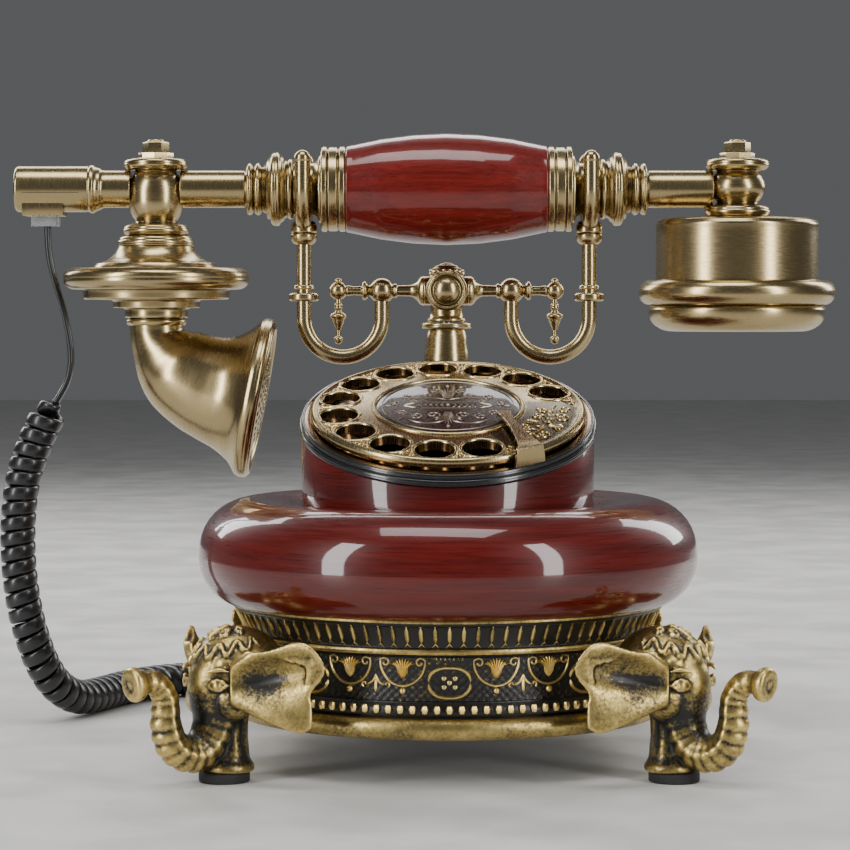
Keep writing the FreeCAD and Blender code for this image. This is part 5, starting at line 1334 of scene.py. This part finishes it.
        wide, rise = 0.55, 0.35
        swing = np.linspace(0, TURN, 121)
        for start in (0, 60):
            part = swing[start:start + 61]
            ribbon(relief, np.stack((24.4 * np.cos(part), 24.4 * np.sin(part)), axis=1), 0.4, 0.3, place,
                   sides=5)
        for side in (-1, 1):
            for x, y, first, last, turns, way in ((5.6, -9.6, 3.0, 0.4, 1.4, -1),
                                                  (12.0, -10.8, 2.6, 0.4, 1.3, 1),
                                                  (17.2, -6.8, 2.2, 0.4, 1.3, -1),
                                                  (9.0, 9.4, 3.0, 0.4, 1.5, 1),
                                                  (15.4, 8.6, 2.4, 0.4, 1.3, -1),
                                                  (19.8, 2.2, 1.8, 0.3, 1.2, 1),
                                                  (5.0, 14.6, 2.2, 0.4, 1.3, -1),
                                                  (13.0, 3.9, 1.7, 0.3, 1.2, -1)):
                ribbon(relief, scroll((side * x, y), first, last, turns * way * side, math.pi / 2 * way,
                                      26), wide, rise,
                       place)
            ribbon(relief, bow((side * 1.0, -15.0), (side * 15.0, -13.6), -3.2 * side, 20), wide, rise, place)
            ribbon(relief, bow((0, 5.4), (side * 13.6, 6.2), 1.6 * side, 20), wide, rise, place)
            ribbon(relief, bow((side * 11.4, -2.8), (side * 17.0, 0.0), 0.0, 9), wide, rise, place)
            ribbon(relief, bow((side * 17.0, 0.0), (side * 11.4, 2.8), 0.0, 9), wide, rise, place)
            ribbon(relief, bow((side * 20.8, 0.0), (side * 23.2, 0.0), 0.0, 7), 1.3, rise, place)
            for leaf in range(5):
                ribbon(relief, bow((side * (1.6 + 2.0 * leaf), 1.9), (side * (2.9 + 2.0 * leaf), 0.0), 0.3,
                                   6), wide, rise,
                       place, sides=5)
                ribbon(relief, bow((side * (1.6 + 2.0 * leaf), -1.9), (side * (2.9 + 2.0 * leaf), 0.0),
                                   -0.3, 6), wide, rise,
                       place, sides=5)
        for height in (-2.9, 2.9):
            ribbon(relief, bow((-11.4, height), (11.4, height), 0.0, 16), wide, rise, place)
        for rib in range(-4, 5):
            ribbon(relief, bow((0.35 * rib, 6.6), (rib * 1.35, 17.4 - 0.55 * abs(rib)), 0.8 * rib * 0.4,
                               11), wide, rise,
                   place)
            ribbon(relief, bow((0.3 * rib, -6.4), (rib * 1.2, -18.6 + 1.1 * abs(rib)), -0.3 * rib, 10),
                   wide, rise, place)
        for x, y in ((0, 19.6), (0, 0), (-5.0, 18.4), (5.0, 18.4), (0, -20.6)):
            ball(relief, place(np.array(float(x)), np.array(float(y)), np.array(0.0)), 0.75, 12, 0.8)
        relief.build("medallion_relief", [finish("pewter_relief")], "dial", (), "maroon_enamel", relief=0.3)
        rim = Shell()
        lathe(rim, [(26.4, 6.9), (28.2, 6.9), (28.3, 8.2), (27.4, 8.8, 0.3), (26.6, 8.3, 0.3)], base, along,
              160, corner=0.15)
        rim.build("medallion_rim_brass", [finish("antique_brass")], "dial", ["medallion_rim"],
                  "antique_brass")



# ---------------------------------------------------------------- post and cradle
class TELEPHONE_OT_cradle(bpy.types.Operator):
    """Make the turned post, the cross, its two arms and the two forks that hold the handset"""
    bl_idname = "telephone.cradle"
    bl_label = "Post and cradle"

    def execute(self, context):
        y, z, high = HANDSET_Y, ARM_Z, RING_TOP
        brass = [finish("antique_brass")]
        post = Shell()
        top = z - 13.6
        lathe(post, [(2.55, high), (13.0, high), (13.2, high + 1.2, 0.3), (12.6, high + 2.2, 0.3),
                     (11.0, high + 3.6, 0.3), (6.0, high + 8.0, -0.3), (4.6, high + 22.0, -0.05),
                     (6.0, high + 23.6), (6.6, high + 25.0, 0.5), (5.8, high + 26.4, 0.3),
                     (4.8, high + 28.0, -0.2), (7.6, high + 38.0, -0.08), (8.2, top - 7.5, 0.12),
                     (7.1, top - 1.2, 0.1), (9.4, top - 1.2), (9.8, top - 0.1, 0.4), (9.4, top + 1.0, 0.4),
                     (7.4, top + 1.0), (2.55, top + 1.0)], (0, y, 0), around=96,
                     most=3.0)
        post.build("turned_post", brass, "base", ["post"], "antique_brass", relief=0.5)
        cross = Shell()
        lathe(cross, [(0, z - 12.2), (7.4, z - 12.2), (7.6, z - 11.0, 0.3), (6.4, z - 9.0, -0.2),
                      (6.3, z - 5.0), (6.8, z + 6.0), (0, z + 6.0)], (0, y, 0), around=96, most=2.5)
        lathe(cross, [(0, -9.0), (5.4, -9.0), (5.7, -8.2, 0.3), (5.7, 8.2), (5.4, 9.0, 0.3), (0, 9.0)],
              (0, y, z), X_AXIS, 64)
        cross.build("cross_body", brass, "cradle", ["crosshead"], "antique_brass", relief=0.5)
        boss = Shell()
        lathe(boss, [(0, 6.0), (6.6, 6.0), (7.7, 7.6, 0.2), (7.9, 9.2, 0.3), (7.3, 10.7, 0.4),
                     (6.3, 10.9, 0.4), (5.7, 10.0), (5.2, 10.1), (0, 12.4, 0.22)], (0, y, z), (0, -1, 0),
                     96, corner=0.2, most=1.5)
        boss.build("cross_boss", brass, "cradle", ["cradle_boss"], "antique_brass", relief=0.5)
        crown = Shell()

        def scallops(angle, height):
            return 0.35 * np.cos(12 * angle) * np.exp(-((height - (z + 7.4)) / 1.0) ** 2)

        lathe(crown, [(0, z + 5.6), (6.2, z + 5.6), (6.6, z + 7.2, 0.5), (6.2, z + 8.6, 0.3), (5.0, z + 9.3),
                      (3.2, z + 10.2, 0.2), (0, z + 11.0, 0.2)], (0, y, 0), around=144, corner=0.2,
                      most=0.8, wave=scallops)
        crown.build("scalloped_crown", brass, "cradle", ["cradle_crown"], "antique_brass", relief=0.4)
        for word, side in (("left", -1), ("right", 1)):
            self.arm(word, side, y, z, brass)
            self.fork(word, side, y, z, brass)
        return {"FINISHED"}

    def arm(self, word, side, y, z, brass):
        ball_x, end_x = 25.4, 42.5
        arm = Shell()
        lathe(arm, [(0, 8.6), (5.5, 8.6), (5.7, 9.6, 0.4), (4.7, 11.0, 0.2), (2.2, 14.2, -0.2),
                    (2.1, ball_x - 6.2), (2.7, ball_x - 5.6, 0.3), (2.7, ball_x - 4.7, 0.3),
                    (2.5, ball_x - 4.387), (2.5, ball_x + 4.387, 0.5697), (1.9, ball_x + 5.4),
                    (3.3, ball_x + 6.1, 0.3), (3.3, ball_x + 7.6, 0.5), (1.8, ball_x + 8.1),
                    (1.7, ball_x + 11.0), (2.1, end_x - 3.6), (0, end_x)], (0, y, z),
                    (side, 0, 0), 64, corner=0.2, most=1.5)
        ball(arm, (side * end_x, y, z), 3.6, 36)
        lathe(arm, [(0, z + 2.6), (1.2, z + 3.2, 0.2), (0.9, z + 4.6, 0.5), (0, z + 4.9, 0.3)],
              (side * end_x, y, 0), around=32, corner=0.15)
        lathe(arm, [(0, z - 21.0), (1.6, z - 19.4, 0.41), (0.8, z - 17.8, 0.5), (0.9, z - 15.4),
                    (1.3, z - 14.2, 0.1), (2.4, z - 11.2, 0.1), (3.0, z - 10.4, 0.2), (3.1, z - 9.4, 0.4),
                    (1.6, z - 8.6, 0.3), (1.0, z - 7.6), (1.5, z - 6.2, 0.4), (1.2, z - 5.0, 0.4),
                    (1.1, z - 2.0), (0, z - 2.0)],
              (side * end_x, y, 0), around=40, corner=0.15, most=1.5)
        arm.build(f"cross_arm_{word}", brass, "cradle", [f"cradle_arm_{word}"], "antique_brass", relief=0.4)

    def fork(self, word, side, y, z, brass):
        """The hook: straight down from the arm's ball, half a circle out, and straight up to the hub."""
        ball_x, fork_x, wire, axis_z = 25.4, 56.0, 2.9, HANDSET_Z
        bend_z, hub = z - 10.7, axis_z - 21.5
        reach, middle = (fork_x - ball_x) / 2, (fork_x + ball_x) / 2
        swing = np.linspace(math.pi, TURN, 48)
        path = [np.stack((np.full(8, ball_x), np.linspace(z - 3.6, bend_z + 1.0, 8)), axis=1),
                np.stack((middle + reach * np.cos(swing), bend_z + reach * np.sin(swing)), axis=1),
                np.stack((np.full(16, fork_x), np.linspace(bend_z + 1.5, hub + 3.0, 16)), axis=1)]
        path = np.concatenate(path)
        shell = Shell()
        tube(shell, np.stack((side * path[:, 0], np.full(len(path), y), path[:, 1]), axis=1), wire, Y_AXIS,
             40)
        x = side * fork_x
        lathe(shell, [(2.4, z - 4.1), (5.0, z - 4.1), (5.9, z - 3.2, 0.4), (5.9, z - 1.8),
                      (5.0, z - 0.9, 0.4), (2.4, z - 0.9)], (x, y, 0), around=64, corner=0.2)
        lathe(shell, [(2.4, z + 0.6), (3.7, z + 0.7), (3.9, z + 1.5, 0.4), (3.5, z + 2.2, 0.3),
                      (2.4, z + 2.4)], (x, y, 0),
              around=48, corner=0.15)
        lathe(shell, [(2.4, hub - 0.4), (3.6, hub), (5.1, hub + 2.0, 0.2), (5.2, hub + 3.6), (4.7, hub + 4.2),
                      (5.2, hub + 4.8), (5.1, hub + 7.0), (4.0, hub + 9.0, 0.2), (2.4, hub + 9.0)],
              (x, y, 0), around=64, corner=0.2, most=2.0)
        spread = 10.2 + 0.3 + 3.1
        swing = np.linspace(math.pi, TURN, 48)
        bow_path = np.concatenate((np.stack((np.full(6, -spread), np.linspace(10.4, 0.8, 6)), axis=1),
                                   np.stack((spread * np.cos(swing), spread * np.sin(swing)), axis=1),
                                   np.stack((np.full(6, spread), np.linspace(0.8, 10.4, 6)), axis=1)))
        prong = np.stack((np.full(len(bow_path), x), y + bow_path[:, 0], axis_z + bow_path[:, 1]), axis=1)
        tube(shell, prong, 3.1, X_AXIS, 36)
        for way in (-1, 1):
            ball(shell, (x, y + way * spread, axis_z + 11.4), 3.3, 32)
        shell.build(f"fork_{word}", brass, "cradle", [f"cradle_fork_{word}"], "antique_brass", relief=0.6)


# ---------------------------------------------------------------- handset
class TELEPHONE_OT_handset(bpy.types.Operator):
    """Make the wooden grip, its collars and necks, the elbows with their nuts, and the end cap"""
    bl_idname = "telephone.handset"
    bl_label = "Handset"

    def execute(self, context):
        y, z = HANDSET_Y, HANDSET_Z
        brass = [finish("antique_brass")]
        half = float(GRIP_HIGH[0])
        grip = Shell()
        bulge = 4.9 / half * 0.5
        lathe(grip, [(0, -half), (16.2, -half), (17.0, -half + 1.0, 0.4), (21.9, 0, bulge),
                     (17.0, half - 1.0, bulge), (16.2, half, 0.4), (0, half)], (0, y, z), X_AXIS, 160,
                     most=2.0)
        grip.build("wooden_grip", [finish("red_lacquer_wood")], "handset", ["handset_grip"],
                   "red_lacquer_wood", sharp=35)
        for word, side in (("left", -1), ("right", 1)):
            way = (side, 0, 0)
            collar = Shell()
            end = half + 9.6
            lathe(collar, [(0, half), (16.0, half), (16.7, half + 0.8, 0.4), (16.7, half + 2.3),
                           (16.0, half + 2.6), (16.0, half + 3.1), (16.5, half + 3.4), (16.5, end - 3.1),
                           (16.0, end - 2.8), (16.0, end - 2.4), (16.7, end - 2.1), (16.7, end - 0.8),
                           (16.0, end, 0.4), (0, end)], (0, y, z),
                           way, 128, corner=0.2)
            collar.build(f"grip_band_{word}", brass, "handset", [f"grip_collar_{word}"], "antique_brass")
            neck = Shell()
            fork_x, root_x = 56.0, ELBOW_X - 9.8
            lathe(neck, [(0, end), (13.2, end), (12.9, end + 1.0, 0.2), (10.2, end + 3.6, -0.35),
                         (10.2, fork_x + 3.8), (11.2, fork_x + 4.2, 0.2), (11.8, fork_x + 5.4, 0.4),
                         (11.0, fork_x + 6.4, 0.3), (12.4, fork_x + 7.8, -0.2), (13.4, fork_x + 9.0, -0.1),
                         (14.3, fork_x + 11.0, 0.45), (13.4, fork_x + 12.8, 0.35),
                         (11.6, fork_x + 14.2, -0.2), (8.6, fork_x + 16.4, -0.2), (9.6, fork_x + 17.0, 0.3),
                         (10.2, fork_x + 18.0, 0.4), (9.2, fork_x + 19.2, 0.3), (8.7, fork_x + 19.7),
                         (9.8, fork_x + 20.4, 0.3), (9.8, fork_x + 22.0, 0.5), (7.3, fork_x + 23.0),
                         (7.3, root_x), (0, root_x)], (0, y, z), way, 128, corner=0.2,
                         most=3.0)
            neck.build(f"turned_neck_{word}", brass, "handset", [f"neck_{word}"], "antique_brass")
            x = side * ELBOW_X
            elbow = Shell()
            low = float(node_box(f"elbow_{word}")[0][2])
            lathe(elbow, [(0, low), (11.2, low), (12.8, low + 1.4, 0.3), (12.6, low + 3.0, 0.4),
                          (11.0, low + 4.4, 0.4), (8.4, low + 5.2), (8.0, low + 5.8),
                          (11.0, 0.5 * (low + 5.8 + z + 6.6), 0.2), (8.2, z + 6.6, 0.2), (8.6, z + 7.2),
                          (9.8, z + 7.4), (12.0, z + 8.4, 0.3), (12.4, z + 10.0, 0.4),
                          (11.2, z + 11.6, 0.4), (9.0, z + 12.0), (0, z + 12.0)],
                  (x, y, 0), around=128, corner=0.25, most=2.0)
            elbow.build(f"elbow_ball_{word}", brass, "handset", [f"elbow_{word}"], "antique_brass")
            nut = Shell()
            lathe(nut, [(0, z + 11.9), (6.9, z + 11.9), (6.9, z + 14.2), (0, z + 14.2)], (x, y, 0),
                  around=8, corner=0.3)
            lathe(nut, [(0, z + 14.0), (5.2, z + 14.0), (5.2, z + 18.2), (4.2, z + 18.7), (0, z + 18.7)],
                  (x, y, 0), around=6, corner=0.3)
            lathe(nut, [(0, z + 18.4), (3.4, z + 18.4), (3.0, z + 19.3, 0.3), (0, z + 19.3)], (x, y, 0),
                  around=48, corner=0.2)
            nut.build(f"hexagon_nut_{word}", brass, "handset", [f"top_nut_{word}"], "antique_brass", sharp=25)
        self.end_cap(y, z, brass)
        dress_node("handset_plug", "clear_plug")
        return {"FINISHED"}

    def end_cap(self, y, z, brass):
        near = ELBOW_X + 9.8
        flare = near + 14.6
        far = flare + 30.6
        cap = Shell()
        lathe(cap, [(0, near), (7.3, near), (7.3, flare - 4.4), (8.2, flare - 2.6, -0.2),
                    (9.3, flare - 0.2, -0.2), (9.3, flare + 1.4, 0.2), (8.9, flare + 1.8),
                    (8.9, flare + 2.2), (9.0, flare + 2.6), (9.0, far - 1.2), (7.8, far, 0.4), (0, far)],
                    (0, y, z), (-1, 0, 0), 128, corner=0.2, most=3.0)
        for low_x, high_x, low_z, high_z, wide in ((-far + 3.2, -far + 19.2, -10.6, -3.0, 7.0),):
            outline = [(low_x, -wide), (high_x, -wide), (high_x, wide), (low_x, wide)]
            outline = np.concatenate([np.linspace(a, b, 6, endpoint=False) for a, b in
                                      zip(np.array(outline), np.roll(np.array(outline), -1, axis=0))])

            def place(x, wide_y, tall):
                return np.stack((x, y + wide_y, z + tall), axis=-1)

            slab(cap, outline, place, low_z, high_z, 0.8)
        cap.build("end_cap_barrel", brass, "handset", ["end_cap"], "antique_brass", sharp=40)
        seam = Shell()

        def on_cap(x, around, proud):
            swing = -math.pi / 2 + around / 9.0
            return np.stack((x, y + (8.96 + proud) * np.sin(swing), z + (8.96 + proud) * np.cos(swing)),
                            axis=-1)

        for around in (-1.6, math.pi * 9.0 + 1.6):
            ribbon(seam, bow((-far + 1.5, around), (-flare - 3.0, around), 0.0, 14), 0.35, 0.06, on_cap,
                   sides=4, sink=0.1)
        seam.build("end_cap_seam", [finish("socket_dark")], "handset", (), "antique_brass", relief=0.0)


def perforated(grid_radius, bulge, pitch, hole, rings):
    """Heights of a perforated dome, a shallow arch less a cup at each hole of a ring pattern, and each
    point's share of a cup, which the callers turn into painted shade in the holes.
    """
    radius = np.linspace(0, grid_radius, 84)[:, None]
    angle = (np.arange(360) * TURN / 360)[None, :]
    x, y = radius * np.cos(angle), radius * np.sin(angle)
    nearest = np.hypot(x, y)
    for ring in range(1, rings + 1):
        count = 6 * ring
        swing = np.round(angle / (TURN / count)) * (TURN / count)
        nearest = np.minimum(nearest, np.hypot(x - ring * pitch * np.cos(swing),
                                               y - ring * pitch * np.sin(swing)))
    # the cup's share also darkens the tone: painted shade standing in for the dark inside of each hole
    cup = np.clip((hole - nearest) / 0.35 + 0.5, 0, 1)
    cup = cup * cup * (3 - 2 * cup)
    return x, y, bulge * (1 - (radius / grid_radius) ** 2) - 1.1 * cup, cup


class TELEPHONE_OT_mouthpiece(bpy.types.Operator):
    """Make the stacked flange under the left elbow, the curved horn, its rim and its pierced face"""
    bl_idname = "telephone.mouthpiece"
    bl_label = "Mouthpiece"

    def execute(self, context):
        x, y = -ELBOW_X, HANDSET_Y
        brass = [finish("antique_brass")]
        low, high = (float(corner[2]) for corner in node_box("mouthpiece_flange"))
        ring_z, ring_r = low + 18.4, 36.2
        stack = Shell()
        lathe(stack, [(0, low), (10.6, low), (11.8, low + 1.2, 0.4), (11.4, low + 2.4, 0.4),
                      (11.2, low + 2.8), (12.4, low + 3.2), (12.4, low + 6.4), (13.2, low + 6.8),
                      (16.9, low + 6.9), (16.9, low + 9.4), (17.6, low + 9.9), (28.0, low + 10.2),
                      (28.6, low + 10.8, 0.2), (28.8, low + 13.9), (32.2, ring_z - 4.3),
                      (ring_r - 1.5, ring_z - 3.4, 0.2), (ring_r, ring_z, 0.35),
                      (ring_r - 1.3, ring_z + 3.2, 0.35), (ring_r - 4.6, ring_z + 3.9, 0.3),
                      (ring_r - 10.4, ring_z + 2.4, -0.25), (24.9, ring_z + 2.8), (23.4, ring_z + 6.0, 0.1),
                      (14.6, high - 4.0, -0.28), (14.9, high - 3.0, 0.3), (14.4, high - 1.4, 0.4),
                      (13.0, high, 0.4), (0, high)],
                      (x, y, 0), around=192, corner=0.3, most=2.0)
        stack.build("stacked_flange", brass, "handset", ["mouthpiece_flange"], "antique_brass", relief=0.6)
        tilt = math.radians(10.8)
        axis = np.array((math.cos(tilt), 0.0, -math.sin(tilt)))
        stations = np.array([(0, 0, 10.6), (0.3, -3.0, 10.7), (1.7, -6.8, 11.9), (4.0, -12.4, 14.4),
                             (7.4, -17.0, 17.0), (14.5, -21.6, 19.2), (21.0, -24.4, 20.8),
                             (27.0, -26.2, 22.8), (32.4, -27.3, 26.4), (35.6, -27.9, 30.2)])
        ways = np.array([(0, -1), (0.10, -0.99), (0.40, -0.91), (0.66, -0.75), (0.84, -0.53), (0.92, -0.40),
                         (0.95, -0.30), (0.97, -0.22), (axis[0], axis[2]), (axis[0], axis[2])])
        fine, way = smooth_path(stations, 70), smooth_path(ways, 70)
        way /= np.linalg.norm(way, axis=1)[:, None]
        swing = np.arange(128) * TURN / 128
        across_way = np.stack((-way[:, 1], np.zeros(70), way[:, 0]), axis=1)
        middle = np.stack((x + fine[:, 0], np.full(70, y), low + fine[:, 1]), axis=1)

        def skin(radius):
            ring = (np.cos(swing)[None, :, None] * across_way[:, None, :]
                    + np.sin(swing)[None, :, None] * Y_AXIS)
            return middle[:, None, :] + radius[:, None, None] * ring

        outer = skin(fine[:, 2])
        inner = skin(fine[:, 2] - 1.8)[20:][::-1]
        horn = Shell()
        grid = np.concatenate((outer[:1] * 0 + middle[0], outer, inner, inner[-1:] * 0 + middle[20]))
        lay = np.stack((np.broadcast_to(np.arange(len(grid))[:, None] * 0.8, grid.shape[:2]),
                        np.broadcast_to(18 * np.cos(swing), grid.shape[:2]),
                        np.broadcast_to(18 * np.sin(swing), grid.shape[:2])), axis=-1)
        horn.add(grid, False, True, 0.5, lay)
        horn.build("curved_horn", brass, "handset", ["mouthpiece_horn"], "antique_brass", relief=0.8)
        face = middle[-1]
        rim = Shell()
        lathe(rim, [(25.8, 0.0), (30.2, 0.0), (31.4, 1.6, 0.2), (31.6, 3.6, 0.2), (30.6, 5.6, 0.35),
                    (28.8, 6.3, 0.35), (27.2, 5.4, 0.3), (25.8, 4.6)], face, axis, 160, corner=0.2)
        rim.build("horn_rim_bead", brass, "handset", ["horn_rim"], "antique_brass", relief=0.6)
        grille = Shell()
        px, py, tall, cup = perforated(25.7, 3.6, 3.35, 0.95, 7)
        along, side, other = across(axis)
        front = face + px[..., None] * side + py[..., None] * other + (4.0 + tall)[..., None] * along
        # painted shade: the gilt tone falls to nothing in each shallow cup, standing in for the dark inside
        # of a hole
        grille.add(front, False, True, 0.5 - 0.5 * cup)
        back_r = np.array((25.7, 25.7, 0.0))[:, None]
        back_h = np.array((4.0, 0.6, 0.6))
        circle = np.arange(360) * TURN / 360
        back = (face + (back_r * np.cos(circle))[..., None] * side
                + (back_r * np.sin(circle))[..., None] * other
                + back_h[:, None, None] * along)
        grille.add(back, False, True, 0.3)
        grille.build("pierced_face", brass, "handset", ["mouthpiece_grille"], "antique_brass", relief=0.3,
                     sharp=50)
        return {"FINISHED"}


class TELEPHONE_OT_receiver(bpy.types.Operator):
    """Make the drum under the right elbow, its ring and its pierced ear cap"""
    bl_idname = "telephone.receiver"
    bl_label = "Receiver"

    def execute(self, context):
        x, y = ELBOW_X, HANDSET_Y
        brass = [finish("antique_brass")]
        low, high = float(node_box("receiver_cap")[0][2]), float(node_box("receiver_cup")[1][2]) - 0.2
        seam = low + 15.2
        cup = Shell()
        lathe(cup, [(29.6, seam), (31.8, seam), (31.8, high - 3.2), (31.2, high - 1.6, 0.3),
                    (29.6, high - 0.6, 0.3), (27.6, high - 0.2), (27.0, high - 0.6), (26.2, high - 0.6),
                    (25.8, high - 0.1), (13.0, high + 0.1), (12.2, high + 0.2), (0, high + 0.2)],
              (x, y, 0), around=192, corner=0.3, most=3.0)
        cup.build("receiver_drum", brass, "handset", ["receiver_cup"], "antique_brass")
        band = Shell()
        lathe(band, [(29.6, seam - 4.8), (33.7, seam - 4.8), (37.2, seam - 3.5, 0.25), (38.5, seam, 0.22),
                     (37.2, seam + 3.5, 0.22), (33.7, seam + 4.8, 0.25), (32.9, seam + 4.6),
                     (31.85, seam + 4.4), (31.85, seam), (29.6, seam)], (x, y, 0), around=192, corner=0.25)
        band.build("receiver_band", brass, "handset", ["receiver_ring"], "antique_brass", relief=0.6)
        cap = Shell()
        top = seam - 4.8
        lathe(cap, [(18.0, low + 1.2), (18.0, low), (25.0, low), (31.5, low + 1.9, 0.18),
                    (34.4, low + 6.0, 0.22), (34.6, low + 8.6, 0.05), (33.4, top, 0.15), (18.0, top)],
                    (x, y, 0), around=192, corner=0.4, most=2.0)
        px, py, tall, hole_shade = perforated(18.0, 0.0, 3.2, 0.9, 5)
        # painted shade: each shallow cup is darkened, standing in for the dark inside of a hole
        cap.add(np.stack((x + px, y - py, low + 1.2 - tall), axis=-1), False, True, 0.45 - 0.45 * hole_shade)
        edge = np.arange(360) * TURN / 360
        lid = np.array([(18.0, low + 1.2), (18.0, top), (0.0, top)])
        cap.add(np.stack((x + lid[:, :1] * np.cos(edge), y + lid[:, :1] * np.sin(edge),
                          np.broadcast_to(lid[:, 1:], (3, 360))), axis=-1), False, True)
        cap.build("ear_cap", brass, "handset", ["receiver_cap"], "antique_brass", relief=0.5, sharp=45)
        return {"FINISHED"}


# ---------------------------------------------------------------- pieces that keep the frame's own shape
HIDDEN = {
    "bottom_plate": "steel_plate", "bottom_screws": "steel_plate", "screw_bosses": "black_moulding",
    "circuit_board": "board_green", "ringer": "brass_dark", "rear_jack": "black_moulding",
    "dial_frame": "steel_plate", "dial_shaft": "steel_plate", "main_gear": "gear_brass",
    "governor_spindle": "gear_brass", "return_spring": "spring_steel", "hook_plunger": "steel_plate",
    "hook_spring": "spring_steel", "hook_switch": "black_moulding", "microphone_capsule": "black_moulding",
    "speaker_capsule": "black_moulding", "base_plug": "clear_plug"}


class TELEPHONE_OT_works(bpy.types.Operator):
    """Give the works inside, the sockets and the bottom plate their finishes"""
    bl_idname = "telephone.works"
    bl_label = "Works and sockets"

    def execute(self, context):
        for name, finish_name in HIDDEN.items():
            dress_node(name, finish_name)
        return {"FINISHED"}


# ---------------------------------------------------------------- panel and run
PIECES = (TELEPHONE_OT_stage, TELEPHONE_OT_cord, TELEPHONE_OT_plinth, TELEPHONE_OT_elephants,
          TELEPHONE_OT_lacquered_body, TELEPHONE_OT_dial_seat, TELEPHONE_OT_finger_wheel, TELEPHONE_OT_cradle,
          TELEPHONE_OT_handset, TELEPHONE_OT_mouthpiece, TELEPHONE_OT_receiver, TELEPHONE_OT_works)


class TELEPHONE_PT_panel(bpy.types.Panel):
    """Sizes, colours and the pieces to build"""
    bl_idname = "TELEPHONE_PT_panel"
    bl_label = "Telephone"
    bl_space_type = "VIEW_3D"
    bl_region_type = "UI"
    bl_category = "Telephone"

    def draw(self, context):
        for group in (context.scene.telephone_sizes, context.scene.telephone_colours):
            box = self.layout.box()
            for name in group.__annotations__:
                box.prop(group, name)
        for piece in PIECES:
            self.layout.operator(piece.bl_idname)


CLASSES = (TelephoneSizes, TelephoneColours) + PIECES + (TELEPHONE_PT_panel,)


def register():
    for one in CLASSES:
        bpy.utils.register_class(one)
    bpy.types.Scene.telephone_sizes = PointerProperty(type=TelephoneSizes)
    bpy.types.Scene.telephone_colours = PointerProperty(type=TelephoneColours)


def unregister():
    del bpy.types.Scene.telephone_colours
    del bpy.types.Scene.telephone_sizes
    for one in reversed(CLASSES):
        bpy.utils.unregister_class(one)


def main():
    """Register the add-on, and build every piece in order."""
    register()
    for name in ("Cube", "Light", "Camera"):
        if name in bpy.data.objects:
            bpy.data.objects.remove(bpy.data.objects[name])
    for piece in PIECES:
        group, name = piece.bl_idname.split(".")
        getattr(getattr(bpy.ops, group), name)()


if __name__ == "__main__":
    main()
